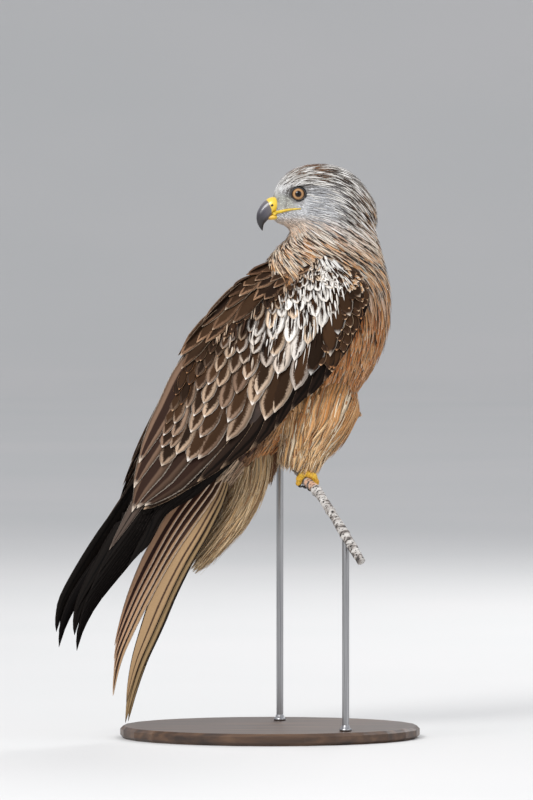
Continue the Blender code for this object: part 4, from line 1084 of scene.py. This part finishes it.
    # Loose barbs that fray out over the coverts, white over the white band and dark or tawny below.
    n = FRAYS
    s = 0.05 + 0.44 * luck.random(n) ** 1.5
    share = luck.uniform(0.0, 0.86, n)
    t = mix(line(SCAPULAR_LINE, s), line(COVERT_LINE, s), share)
    reach = luck.uniform(8, 17, n)
    root = np.stack([s - reach / WING_SPAN * 0.85, t - 0.14 * reach / 34], 1)
    band = (1 - eased(s, 0.32, 0.56)) * eased(share, 0.04, 0.22) * (1 - eased(share, 0.80, 0.95))
    tawny = spread_tone((0.34, 0.22, 0.14), (0.62, 0.48, 0.35), luck.random(n))
    fray = over(tawny, band, spread_tone((0.74, 0.68, 0.60), (0.92, 0.90, 0.87), luck.random(n)))
    is_dark = (luck.random(n) < 0.42)[:, None]
    fray = np.where(is_dark, spread_tone((0.012, 0.007, 0.005), (0.06, 0.03, 0.018), luck.random(n)), fray)
    put(coverts, root, np.stack([s, t], 1), luck.uniform(0.8, 2.2, n), 0.6, luck.uniform(1.4, 2.6, n), 5,
        (fray, fray, fray, *ONE_TONE), crown=0.1, sharp=0.95, cell=(1344, 48))

    # Scapulars: long dark chocolate feathers with rufous fringes, down the back.
    root, tip, width, lot = [], [], [], []
    for number, s in enumerate(np.linspace(0.08, 0.58, SCAPULAR_ROWS)):
        reach = max(line(SCAPULAR_LINE, s), 0.1)
        n = max(int(reach * 150 / 11.5), 2)
        for k in range(n):
            t = (k + 0.5 * (number % 2) + luck.uniform(-0.2, 0.2)) / n * reach
            stagger = luck.uniform(-0.02, 0.02)
            length = mix(0.11, 0.19, min(s / 0.4, 1)) * luck.uniform(0.9, 1.1)
            tip.append((s + stagger, t))
            root.append((max(s + stagger - length, 0.0), t * 0.92 + 0.03 * (s < 0.15)))
            width.append(mix(11.0, 16.0, min(s / 0.3, 1)) * luck.uniform(0.88, 1.12))
            lot.append(luck.random())
    n = len(root)
    lot = np.array(lot)
    edge = spread_tone((0.40, 0.22, 0.11), (0.72, 0.60, 0.46), lot)
    tone = spread_tone((0.10, 0.052, 0.03), (0.36, 0.21, 0.125), luck.random(n))
    core = spread_tone((0.014, 0.007, 0.004), (0.050, 0.025, 0.012), luck.random(n))
    mark = np.stack([luck.uniform(0.55, 0.9, n), luck.uniform(0.6, 0.85, n), luck.uniform(0.03, 0.08, n)], 1)
    form = np.stack([luck.uniform(0.01, 0.03, n), luck.uniform(-0.1, 0.15, n), luck.uniform(-0.2, 0.3, n)], 1)
    put(coverts, root, tip, np.array(width), -1.8, 2.6, 10, (tone, core, edge, mark, form),
        crown=0.16, columns=5, sharp=0.3, taper=0.34, full_at=0.3, tilt=0.08, cell=(440, 24))
    coverts.object("wing_coverts_" + side, wing_look, "wing_plumage")


dress_wing("r", False)
dress_wing("l", True)

# Tail.
# A forked tail held like a tent: six long feathers a side, the middle ones short and on top, the outer
# ones long and beneath. Rufous above, greyish buff where the light comes through, with dark ends.
TAIL_TOP = (
    (-46, 290, 3), (-72, 260, 3), (-98, 228, 3), (-119, 192, 3), (-138, 152, 3), (-151, 116, 3),
    (-159, 84, 3), (-162, 48, 3), (-160, 17, 3),
)
TAIL_EDGE = (
    (-33, 278, 14), (-46, 241, 22), (-61, 205, 26), (-78, 176, 27), (-95, 142, 26), (-110, 106, 26),
    (-122, 78, 25), (-132, 48, 21), (-140, 17, 16),
)
TWIST = 0.8
TAIL_LIFT, TAIL_STEP = 1.8, 1.25
TAIL_STATIONS = 30
STRIPED = 4
# root across, tip along and across, width
TAIL_FEATHERS = (
    (0.08, 0.705, 0.08, 14), (0.22, 0.76, 0.12, 15), (0.36, 0.81, 0.15, 16), (0.5, 0.885, 0.16, 17),
    (0.66, 0.91, 0.68, 18), (0.8, 0.995, 0.8, 18),
)
tail_near = Panel(TAIL_TOP, TAIL_EDGE)
tail_far = Panel([(x, z, -out) for x, z, out in TAIL_TOP], [(x, z, -TWIST * out) for x, z, out in TAIL_EDGE])
tail_look = feather_look("tail_feathers", 0.65, softness=0.08, barb=0.4, wave=0.08, gloss=0.15)
tail = Plumage()
for number, (across, end, tip_across, width) in enumerate(TAIL_FEATHERS):
    share, striped = number / (len(TAIL_FEATHERS) - 1), number < STRIPED
    tone = spread_tone((0.52, 0.30, 0.18), (0.36, 0.24, 0.12), share)
    core = spread_tone((0.035, 0.013, 0.009), (0.05, 0.024, 0.014), share)
    edge = (0.72, 0.56, 0.43) if striped else (0.016, 0.012, 0.012)
    for sheet, sign in ((tail_near, 1), (tail_far, -1)):
        level = sign * (TAIL_LIFT - TAIL_STEP * number)
        spots, leans, lifts = tier(sheet, np.array([(0.05, across)]), np.array([(end, tip_across)]),
                                   level, level, TAIL_STATIONS)
        tail.add(spots, leans, width, lifts, tone, core, edge,
                 (0.32 if striped else 0.10, 0.97, 0.12), (0.015, -0.15, 0.55 * sign), sharp=0.55,
                 crown=0.06 * sign, columns=7, thick=0.2, full_at=0.1, cell=(number * 2 + (sign < 0), 4))
tail.object("tail_feathers", tail_look, "tail_plumage", "tail")

# Tail root.
# Short rufous coverts that cover the quills of the tail above and below.
TAIL_ROOT = (
    (-24, 304, 0, 28, 26), (-44, 274, 0, 20, 19), (-60, 252, 0, 14, 14), (-76, 232, 0, 8, 9),
)
TAIL_COVERTS = 190
root_form = Loft(TAIL_ROOT)
base = mesh_object("tail_root", *root_form.solid(0, 1, 14, 24, -2.5), quill_look)
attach(base, "root")
s = chance.uniform(0.0, 0.62, TAIL_COVERTS)
t = chance.uniform(0, 1, TAIL_COVERTS)
ends = np.stack([np.minimum(s + 0.46, 1.0), t], 1)
spots, leans, lifts = tier(root_form, np.stack([s, t], 1), ends, -2.0, 1.6, 8)
Plumage().add(spots, leans, chance.uniform(7, 10, TAIL_COVERTS), lifts,
              spread_tone((0.34, 0.20, 0.12), (0.54, 0.40, 0.28), chance.random(TAIL_COVERTS)),
              CHOCOLATE, (0.62, 0.47, 0.32), (0.16, 0.7, 0.12), (0.03, 0.0, 0.0),
              sharp=0.8).object("tail_coverts", coat_look, "tail_plumage")

# Undertail coverts and trousers.
# Long, loose, hair-like feathers, sandy under the tail and orange-buff on the thighs. They hang in fine
# locks that wave a little and lie over one another.
LOCK_STATIONS = 9
LOCKS = 150
VENT_STRANDS, CRISSUM_STRANDS, THIGH_STRANDS = 2700, 800, 2300
CRISSUM = (
    (2, 322, 0, 20, 20), (-3, 298, 0, 20, 17), (-4, 278, 0, 15, 13), (-5, 262, 0, 9, 9), (-6, 252, 0, 4, 4),
)


def hung(form, n, starts, reach, ends, drift, luck, flip=False):
    """Centre lines, normals and lifts of loose strands down a round form, drawn together in locks, and the
    s and t of their roots."""
    s = luck.uniform(*starts, n)
    t = luck.uniform(0, 1, n)
    lock_s, lock_t = luck.uniform(0, 1, LOCKS), luck.uniform(0, 1, LOCKS)
    around_gap = (lock_t[None] - t[:, None] + 0.5) % 1 - 0.5
    near = np.argmin((around_gap * 3) ** 2 + (lock_s[None] - s[:, None]) ** 2, 1)
    pull = around_gap[np.arange(n), near] * luck.uniform(0.35, 0.95, n)
    end = np.minimum(s + reach * luck.uniform(0.7, 1.2, n), luck.uniform(*ends, n))
    f = np.linspace(0, 1, LOCK_STATIONS)[None]
    wave = luck.uniform(-1, 1, (n, 1)) * f
    wave = wave + 0.5 * np.sin(f * luck.uniform(3, 8, (n, 1)) + luck.uniform(0, 6, (n, 1)))
    along_s = mix(s[:, None], end[:, None], f)
    around = t[:, None] + drift * wave + pull[:, None] * f ** 1.5
    spots, leans = form.point(along_s, around), form.normal(along_s, around)
    low = luck.uniform(-4.6, -3.4, n)[:, None]
    high = luck.uniform(-1.8, 0.8, n)[:, None]
    high = high + (luck.random(n) < 0.14)[:, None] * luck.uniform(1.0, 3.6, (n, 1))
    lifts = low + (high - low) * f ** 0.7
    if flip:
        spots, leans = mirror(spots), mirror_turns(leans)
    return spots, leans, lifts, s, t


def some(tone, luck, share, colour):
    """The tones with a share of them, drawn by chance, in another colour."""
    return np.where((luck.random(len(tone)) < share)[:, None], colour, tone)


lock_look = feather_look("loose_feathers", 0.75, softness=0.2, barb=0.2)
luck = np.random.default_rng(SEED + 2)
n = VENT_STRANDS
spots, leans, lifts, s, t = hung(vent_form, n, (0.02, 0.76), 0.36, (0.86, 0.995), 0.016, luck)
tone = spread_tone((0.44, 0.27, 0.12), (0.70, 0.52, 0.31), luck.random(n))
tone = some(tone, luck, 0.12, (0.20, 0.11, 0.05))
Plumage().add(spots, leans, luck.uniform(1.4, 3.6, n), lifts, tone, (0.26, 0.14, 0.06), (0.74, 0.60, 0.42),
              (0.16, 0.8, 0.2), (0.04, 0.1, 0.0), sharp=0.9, crown=0.2,
              ).object("undertail_feathers", lock_look, "undertail_plumage", "undertail_coverts")
n = CRISSUM_STRANDS
spots, leans, lifts, s, t = hung(Loft(CRISSUM), n, (0.05, 0.7), 0.42, (0.8, 0.995), 0.02, luck)
# Most of these strands between the thighs are dark brown, painted shade between the legs; three in ten take a pale
# buff.
tone = spread_tone((0.09, 0.035, 0.02), (0.26, 0.12, 0.05), luck.random(n))
tone = some(tone, luck, 0.3, (0.66, 0.46, 0.26))
Plumage().add(spots, leans, luck.uniform(1.6, 3.4, n), lifts, tone, (0.10, 0.04, 0.02),
              (0.60, 0.42, 0.24), (0.16, 0.8, 0.12), (0.04, 0.1, 0.0), sharp=0.9, crown=0.2,
              ).object("vent_feathers", lock_look, "undertail_plumage")
n = THIGH_STRANDS
for side, form, flip in (("r", thigh_form, False), ("l", far_thigh_form, True)):
    spots, leans, lifts, s, t = hung(form, n, (0.10, 0.66), 0.38, (0.68, 0.93), 0.012, luck, flip)
    lot = luck.random(n)
    tone = spread_tone((0.50, 0.27, 0.10), (0.78, 0.55, 0.31), lot)
    tone = over(tone, 1 - eased(s, 0.02, 0.34), spread_tone((0.40, 0.15, 0.04), (0.60, 0.30, 0.11), lot))
    tone = some(tone, luck, 0.12, (0.28, 0.12, 0.045))
    tone = some(tone, luck, 0.10 + 0.12 * s, (0.76, 0.64, 0.47))
    # Over half the strands low on the back of each thigh are painted dark brown, as shade behind the thigh.
    rear = eased(np.cos((t - 0.46) * 2 * np.pi), 0.7, 0.98) * eased(s, 0.25, 0.5)
    tone = over(tone, rear * (luck.random(n) < 0.55), (0.14, 0.055, 0.03))
    Plumage().add(spots, leans, luck.uniform(1.3, 4.8, n), lifts, tone, (0.42, 0.20, 0.07),
                  (0.80, 0.64, 0.44), (0.10, 0.8, 0.16), (0.04, 0.12, 0.0), sharp=0.9, crown=0.14,
                  hand=-1 if flip else 1,
                  ).object("trousers_" + side, lock_look, "trouser_plumage", "thigh_" + side)

# Bill.
# A hooked upper bill of slate horn that darkens to its point, with a soft yellow cere at its base, over
# a shorter yellow lower bill. The yellow gape runs back under the eye.
UPPER_BILL = (
    (51.3, 540.6, 51.3, 524.9, 8.6), (55.5, 539.6, 54.2, 522.6, 8.0), (60.5, 536.4, 56.0, 519.6, 7.0),
    (65.0, 531.0, 57.9, 517.4, 5.9), (68.2, 524.4, 59.8, 515.4, 4.7), (68.4, 517.0, 61.4, 513.2, 3.3),
    (66.2, 511.2, 62.0, 510.2, 1.9), (63.0, 507.2, 62.3, 507.6, 0.5),
)
LOWER_BILL = (
    (51.3, 524.3, 51.3, 518.0, 7.4), (54.8, 523.4, 54.4, 517.8, 6.3), (57.4, 521.8, 57.2, 518.2, 4.6),
    (59.4, 520.2, 59.4, 518.8, 2.2),
)
NOSTRIL = (55.0, 7.9, 532.6)
CERE_END = 0.29
BILL_ROOT = 4.0


def head_point(forward, left, height):
    return HEAD_CENTRE + HEAD_FORWARD * forward + HEAD_LEFT * left + UP * height


def bill_piece(name, sections, steps, sides, look, cere=0.0):
    """A smooth horn form through its sections, with its share along kept at each point."""
    ridge_x, ridge_z, edge_x, edge_z, half = sections[0]
    root = (ridge_x - BILL_ROOT, ridge_z - 0.6, edge_x - BILL_ROOT, edge_z + 0.4, half - 0.8)
    sections = (root, *sections)
    points, zone = [], []
    for k in range(steps + 1):
        share = k / steps
        ridge_x, ridge_z, edge_x, edge_z, half = along(sections, np.array(share))
        swell = cere * float(1 - eased(np.array(share), CERE_END - 0.05, CERE_END + 0.03))
        for i in range(sides):
            turn = 2 * math.pi * i / sides
            f = (1 - math.cos(turn)) / 2
            wide = math.copysign(abs(math.sin(turn)) ** 0.8, math.sin(turn))
            points.append(head_point(mix(ridge_x, edge_x, f), (half + swell) * wide,
                                     mix(ridge_z + swell, edge_z, f)))
            zone.append((share, f, wide))
    made = mesh_object(name, points, ring_faces(steps + 1, sides), look)
    carry(made, "zone", zone)
    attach(made, "root")
    return made


YELLOW = (0.80, 0.55, 0.045)
horn_look = Look("horn", 0.3, Coat_Weight=0.25, Coat_Roughness=0.2)
share, fall = horn_look.channels("zone")[:2]
cloud = horn_look.noise(260.0, 2.0) - 0.5
horn_look.colour(horn_look.ramp(
    share + fall * 0.07 + cloud * 0.05,
    (0.0, YELLOW), (0.315, YELLOW), (0.345, (0.14, 0.125, 0.13)), (0.52, (0.075, 0.07, 0.085)),
    (0.72, (0.018, 0.016, 0.019)), (1.0, (0.006, 0.005, 0.006))))
horn_look.bump(horn_look.noise(420.0), 0.2)
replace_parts(bill_piece("upper_bill_horn", UPPER_BILL, 40, 28, horn_look, cere=0.35), "upper_bill")
lower_look = Look("lower_horn", 0.4)
share = lower_look.channels("zone")[0]
lower_look.colour(lower_look.ramp(
    share, (0.0, YELLOW), (0.6, (0.70, 0.42, 0.06)), (0.95, (0.12, 0.09, 0.07))))
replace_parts(bill_piece("lower_bill_horn", LOWER_BILL, 16, 24, lower_look), "lower_bill")

yellow_look = Look("soft_yellow", 0.5, Subsurface_Weight=0.1)
yellow_look.mottled(300.0, (0.62, 0.36, 0.03), YELLOW, high=0.65)
yellow_look.bump(yellow_look.noise(900.0), 0.3)
# Near-black for the lids' own bare skin, and for the nostrils, where it is painted shade for the openings.
dark_look = Look("dark_skin_and_nostril_shade", 0.45).mottled(500.0, (0.010, 0.009, 0.009), (0.03, 0.026, 0.024))
dark_look.bump(dark_look.noise(1200.0), 0.3)


def tube(centres, radii, sides=12, flat=1.0):
    """Points and faces of a rod through the centres."""
    centres = np.asarray(centres, float)
    run = unit(np.gradient(centres, axis=0))
    side = unit(np.cross(run, UP + 0.01))
    other = np.cross(run, side)
    turn = np.arange(sides) / sides * 2 * np.pi
    loops = (centres[:, None] + side[:, None] * (np.asarray(radii)[:, None] * np.cos(turn))[..., None]
             + other[:, None] * (np.asarray(radii)[:, None] * flat * np.sin(turn))[..., None])
    return loops.reshape(-1, 3), ring_faces(len(centres), sides)


def on_face(side, forward, height, lift):
    """A point on the side of the head, found on the skin."""
    outside = head_point(forward, side * 60, height)
    hit = skin_tree.ray_cast(Vector(outside), Vector(-HEAD_LEFT * side))
    spot = np.array(hit[0]) if hit[0] else head_point(forward, side * 8, height)
    return spot + HEAD_LEFT * side * lift


gape = []
for side in (-1, 1):
    k = np.linspace(0, 1, 12)
    forward, level = mix(52.5, 30.0, k), mix(524.6, 529.2, k) + 1.2 * np.sin(k * np.pi)
    centres = [on_face(side, a, b, 0.1) for a, b in zip(forward, level)]
    gape.append(tube(centres, mix(2.3, 0.7, k ** 1.3), 12, 0.75))
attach(mesh_object("gape", *joined(gape), yellow_look), "root")
# Nostrils: dark lozenges on the cere, painted shade standing for the openings.
holes = []
for side in (-1, 1):
    centre = head_point(NOSTRIL[0], side * NOSTRIL[1], NOSTRIL[2])
    k = np.linspace(-1, 1, 9)
    centres = [centre + (HEAD_FORWARD * 0.5 - UP * 0.25) * 2.6 * a for a in k]
    holes.append(tube(centres, 1.15 * np.sqrt(np.maximum(1 - k ** 2, 0.004)), 12))
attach(mesh_object("nostrils", *joined(holes), dark_look), "root")

# Eyes.
# Pale amber irises round black pupils under a clear wet surface, each in a dark rim of bare lid.
EYE_TURN = (0.32, 0.94, 0.06)
EYE_RINGS, EYE_SIDES = 28, 40
CORNEA_RISE, CORNEA_REACH = 0.05, 0.5
IRIS_REACH = 6.4
LID_IN, LID_WIDE, LID_SIDES = 6.4, 0.75, 12
LID_LONG, LID_HIGH = 1.12, 0.96
eye_look = Look("iris", 0.12, Coat_Weight=0.2, Coat_Roughness=0.01, Specular_IOR_Level=0.2)
ring = eye_look.channels("zone")[0]
streaks = eye_look.noise(1400.0, 3.0) - 0.5
eye_look.colour(eye_look.ramp(
    ring + streaks * 0.03,
    (0.0, (0.002, 0.002, 0.002)), (0.43, (0.003, 0.002, 0.002)), (0.49, (0.20, 0.09, 0.04)),
    (0.60, (0.44, 0.26, 0.12)), (0.76, (0.38, 0.21, 0.09)), (0.87, (0.15, 0.07, 0.03)),
    (1.0, (0.01, 0.008, 0.006))))
for side, letter in ((1, "l"), (-1, "r")):
    low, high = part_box("eye_" + letter)
    centre, radius = eye_centre("eye_" + letter), (high - low).x / 2 / MM
    out = unit(HEAD_FORWARD * EYE_TURN[0] + HEAD_LEFT * (EYE_TURN[1] * side) + UP * EYE_TURN[2])
    across = unit(np.cross(out, UP))
    high_axis = np.cross(across, out)
    points, zone = [], []
    for k in range(1, EYE_RINGS):
        tilt = math.pi * k / EYE_RINGS
        reach = radius * (1 + CORNEA_RISE * math.exp(-(tilt / CORNEA_REACH) ** 2))
        for i in range(EYE_SIDES):
            turn = 2 * math.pi * i / EYE_SIDES
            points.append(centre + out * reach * math.cos(tilt) + (
                across * math.cos(turn) + high_axis * math.sin(turn)) * reach * math.sin(tilt))
            zone.append((min(math.sin(tilt) * radius / IRIS_REACH, 1.0) if tilt < math.pi / 2 else 1.0, 0, 0))
    eye = mesh_object("eyeball_" + letter, points, ring_faces(EYE_RINGS - 1, EYE_SIDES), eye_look)
    carry(eye, "zone", zone)
    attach(eye, "root")
    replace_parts(eye, "eye_" + letter)
    turn = np.linspace(0, 2 * np.pi, EYE_SIDES + 1)[:-1, None]
    rim = centre + out * (radius * 0.60) + (
        across * np.cos(turn) * LID_LONG + high_axis * np.sin(turn) * LID_HIGH) * LID_IN
    lid_points, lid_faces = [], []
    for k, spot in enumerate(rim):
        radial = unit(spot - centre - out * ((spot - centre) @ out))
        m = (k + 1) % EYE_SIDES
        for i in range(LID_SIDES):
            a, j = 2 * math.pi * i / LID_SIDES, (i + 1) % LID_SIDES
            lid_points.append(spot + radial * (LID_WIDE * math.cos(a)) + out * (LID_WIDE * 0.8 * math.sin(a)))
            lid_faces.append((k * LID_SIDES + i, k * LID_SIDES + j, m * LID_SIDES + j, m * LID_SIDES + i))
    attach(mesh_object("lids_" + letter, lid_points, lid_faces, dark_look), "root")

# Feet and claws.
# Short bare shanks and toes of yellow skin under small horny scales, and black curved claws.
foot_look = Look("foot_skin", 0.5)
scales = foot_look.node("ShaderNodeTexVoronoi", {"feature": "DISTANCE_TO_EDGE"}, out=0,
                        Vector=foot_look.place(), Scale=520.0)
tint = foot_look.ramp(foot_look.noise(160.0), (0.3, (0.62, 0.29, 0.018)), (0.6, (0.86, 0.53, 0.045)))
foot_look.colour(foot_look.blend(scales.step(0.0, 0.06, 0.55, 0.0), tint, (0.22, 0.08, 0.015)))
foot_look.bump(scales.step(0.0, 0.12), 0.8, 0.0004)
claw_look = Look("claw_horn", 0.22, Coat_Weight=0.3)
claw_look.mottled(300.0, (0.006, 0.005, 0.005), (0.02, 0.017, 0.016))
# the branch's line, of seen x, height and distance out, which the toes hold and the twig follows
PERCH = (
    (-6, 297, -92), (10, 287, -48), (19, 277.5, -28), (27, 268.5, 0), (35, 258.5, 28), (47, 248, 52),
    (61, 228, 80), (75, 206, 108), (90, 182, 137),
)
PERCH_RADIUS = 4.6
# shift along the perch, sweep round it in degrees and half thickness of each toe, the hind one last
TOES = ((-9.0, 138, 3.6), (0.0, 152, 3.9), (9.0, 132, 3.6), (3.5, -110, 3.8))
TOE_SCUTES = 11
SHANK_RISE = 26.0
CLAW_TURN = 46.0
FOOT_VOXEL, FOOT_SMOOTHINGS = 0.5, 2


def perch_line(s):
    row = along(PERCH, np.asarray(s, float))
    return place(row[..., 0], row[..., 1], row[..., 2])


def round_perch(s, shift, turn, reach):
    """Points at a shift along the perch, a turn round it in degrees from its top and a reach from its line."""
    run = unit(perch_line(s + 0.01) - perch_line(s - 0.01))
    top = unit(UP - run * (UP @ run))
    front = np.cross(top, run)
    front = front * (1 if front @ FORWARD > 0 else -1)
    shift, angle, reach = (part[:, None] for part in np.broadcast_arrays(shift, np.radians(turn), reach))
    return perch_line(s) + run * shift + (top * np.cos(angle) + front * np.sin(angle)) * reach


for side, s in (("r", 0.5), ("l", 0.25)):
    skin_parts, claw_parts = [], []
    for shift, sweep, thick in TOES:
        k = np.linspace(0, 1, 45)
        radii = thick * mix(1.0, 0.76, k) * (1 + 0.08 * np.cos(k * 6 * np.pi + 0.6)
                                             + 0.05 * np.abs(np.sin(k * TOE_SCUTES * np.pi)))
        shifts = shift * mix(0.55, 1.0, np.minimum(k * 1.7, 1))
        skin_parts.append(tube(round_perch(s, shifts, k * sweep, PERCH_RADIUS + 0.2 + radii), radii, 16))
        k = np.linspace(0, 1, 20)
        radii = mix(2.3, 0.3, k ** 1.2)
        turns = sweep + math.copysign(1, sweep) * (2.0 + CLAW_TURN * k)
        claw_reach = PERCH_RADIUS + 0.9 + radii + np.sin(k * np.pi)
        claw_parts.append(tube(round_perch(s, shift, turns, claw_reach), radii))
    # The palm lies along the perch, and the shank stands on it.
    k = np.linspace(-1, 1, 17)
    skin_parts.append(tube(round_perch(s, k * 8.0, 0, PERCH_RADIUS + 4.6),
                           5.4 * np.sqrt(np.maximum(1 - k ** 2, 0.01)), 20))
    k = np.linspace(0, 1, 30)
    skin_parts.append(tube(round_perch(s, 0, 0, PERCH_RADIUS + 3 + k * SHANK_RISE),
                           mix(5.2, 4.4, k) * (1 + 0.04 * np.abs(np.sin(k * 9 * np.pi))), 20))
    foot = mesh_object("foot_skin_" + side, *joined(skin_parts), foot_look)
    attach(one_skin(foot, FOOT_VOXEL, FOOT_SMOOTHINGS), "root")
    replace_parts(foot, "foot_" + side)
    claws = mesh_object("claws_" + side, *joined(claw_parts), claw_look)
    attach(claws, "root")
    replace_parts(claws, *("claw_" + side + number for number in "1234"))

# Perch.
# A cut length of dead twig, grey bark with pale lichen and dark flecks in rings, bare and warm where it
# is worn by the feet.
TWIG_STEPS, TWIG_SIDES = 160, 28
# each knot's place along the twig and its rise
KNOTS = ((0.08, 0.7), (0.36, 0.6), (0.62, 0.9), (0.74, 0.6), (0.87, 0.8))
WORN = (0.53, 0.60)
k =np.linspace(0, 1, TWIG_STEPS)
radii = PERCH_RADIUS * (1 + 0.05 * np.sin(23 * k) + 0.04 * np.sin(61 * k + 1) + 0.012 * np.sin(190 * k))
for at, rise in KNOTS:
    radii = radii + rise * np.exp(-((k - at) / 0.008) ** 2)
centres = perch_line(k)
bark_look = Look("twig_bark", 0.9)
twig_points, twig_faces = tube(centres, radii, TWIG_SIDES)
twig_points = twig_points + chance.normal(0, 0.07, twig_points.shape)
twig = mesh_object("twig", twig_points, twig_faces, bark_look)
reach = np.concatenate([[0], np.cumsum(np.linalg.norm(np.diff(centres, axis=0), axis=1))])
turn = np.tile(np.arange(TWIG_SIDES) / TWIG_SIDES * 2 * np.pi, TWIG_STEPS)
# The bark's pattern is laid out by the length along the twig and the turn round it.
carry(twig, "zone", np.stack([np.repeat(reach, TWIG_SIDES), PERCH_RADIUS * np.cos(turn),
                              PERCH_RADIUS * np.sin(turn)], 1) * MM)
worn_from, worn_to = (float(np.interp(at, k, reach)) * MM for at in WORN)
along_twig = bark_look.channels("zone")[0]
rolled = bark_look.attribute("zone")
rings = bark_look.noise(1.0, 5.0, bark_look.stretched((210.0, 110.0, 110.0), rolled))
flecks = bark_look.noise(1.0, 5.0, bark_look.stretched((500.0, 260.0, 260.0), rolled))
shade = bark_look.ramp(rings, (0.36, (0.06, 0.052, 0.048)), (0.44, (0.24, 0.21, 0.19)),
                       (0.53, (0.50, 0.47, 0.44)), (0.72, (0.66, 0.64, 0.61)))
worn = along_twig.step(worn_from, worn_from + 0.002) * (1 - along_twig.step(worn_to, worn_to + 0.003))
shade = bark_look.blend(worn * rings.step(0.4, 0.5), shade, (0.60, 0.36, 0.24))
shade = bark_look.blend(flecks.step(0.55, 0.60), shade, (0.022, 0.02, 0.018))
bark_look.colour(shade)
bark_look.bump(rings * 0.5 + flecks * 0.6, 0.6, 0.0010)
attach(twig, "root")
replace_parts(twig, "perch")

# Display stand.
# A turned hardwood base, stained dark and satin, and two thin steel rods that carry the branch.
COLLAR_RISES = (0.0, 0.1, 1.6, 2.4, 3.4, 5.6, 6.0, 6.0)
COLLAR_RADII = (5.6, 6.2, 6.2, 5.8, 4.4, 3.8, 3.4, 2.4)
wood_look = Look("dark_wood", 0.42, Coat_Weight=0.15, Coat_Roughness=0.3)
grain = wood_look.noise(1.0, 5.0, wood_look.stretched((9.0, 120.0, 120.0)))
wood_look.colour(wood_look.ramp(grain, (0.3, (0.028, 0.015, 0.009)), (0.52, (0.075, 0.038, 0.02)),
                                (0.7, (0.13, 0.07, 0.036))))
wood_look.bump(grain, 0.25, 0.0004)


def refined(node, name, look, edge_round):
    """A piece with rounded edges made from a node's form, which takes the node's place."""
    made = added(name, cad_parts[node].data.copy())
    made.data.materials.clear()
    made.data.materials.append(look.material)
    bevel = made.modifiers.new("edges", "BEVEL")
    bevel.width = edge_round * MM
    bevel.segments = 3
    bevel.limit_method = "ANGLE"
    apply_all(made)
    made.data.polygons.foreach_set("use_smooth", np.ones(len(made.data.polygons), bool))
    made.data.set_sharp_from_angle(angle=0.6)
    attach(made, "root")
    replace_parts(made, node)


refined("stand_base", "base_plate", wood_look, 0.8)
steel_look = Look("rod_steel", 0.32, Metallic=1.0)
brushed = steel_look.noise(1.0, 2.0, steel_look.stretched((900.0, 900.0, 12.0)))
steel_look.colour(steel_look.ramp(brushed, (0.3, (0.30, 0.30, 0.31)), (0.7, (0.46, 0.46, 0.47))))
collars = []
for node in ("stand_rod_far", "stand_rod_near"):
    refined(node, node.replace("stand_", ""), steel_look, 0.15)
    low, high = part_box(node)
    foot = np.array(((low.x + high.x) / 2, (low.y + high.y) / 2, low.z)) / MM
    collars.append(tube(foot + UP * np.array(COLLAR_RISES)[:, None], COLLAR_RADII, 32))
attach(mesh_object("rod_collars", *joined(collars), steel_look), "root")

low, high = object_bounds()
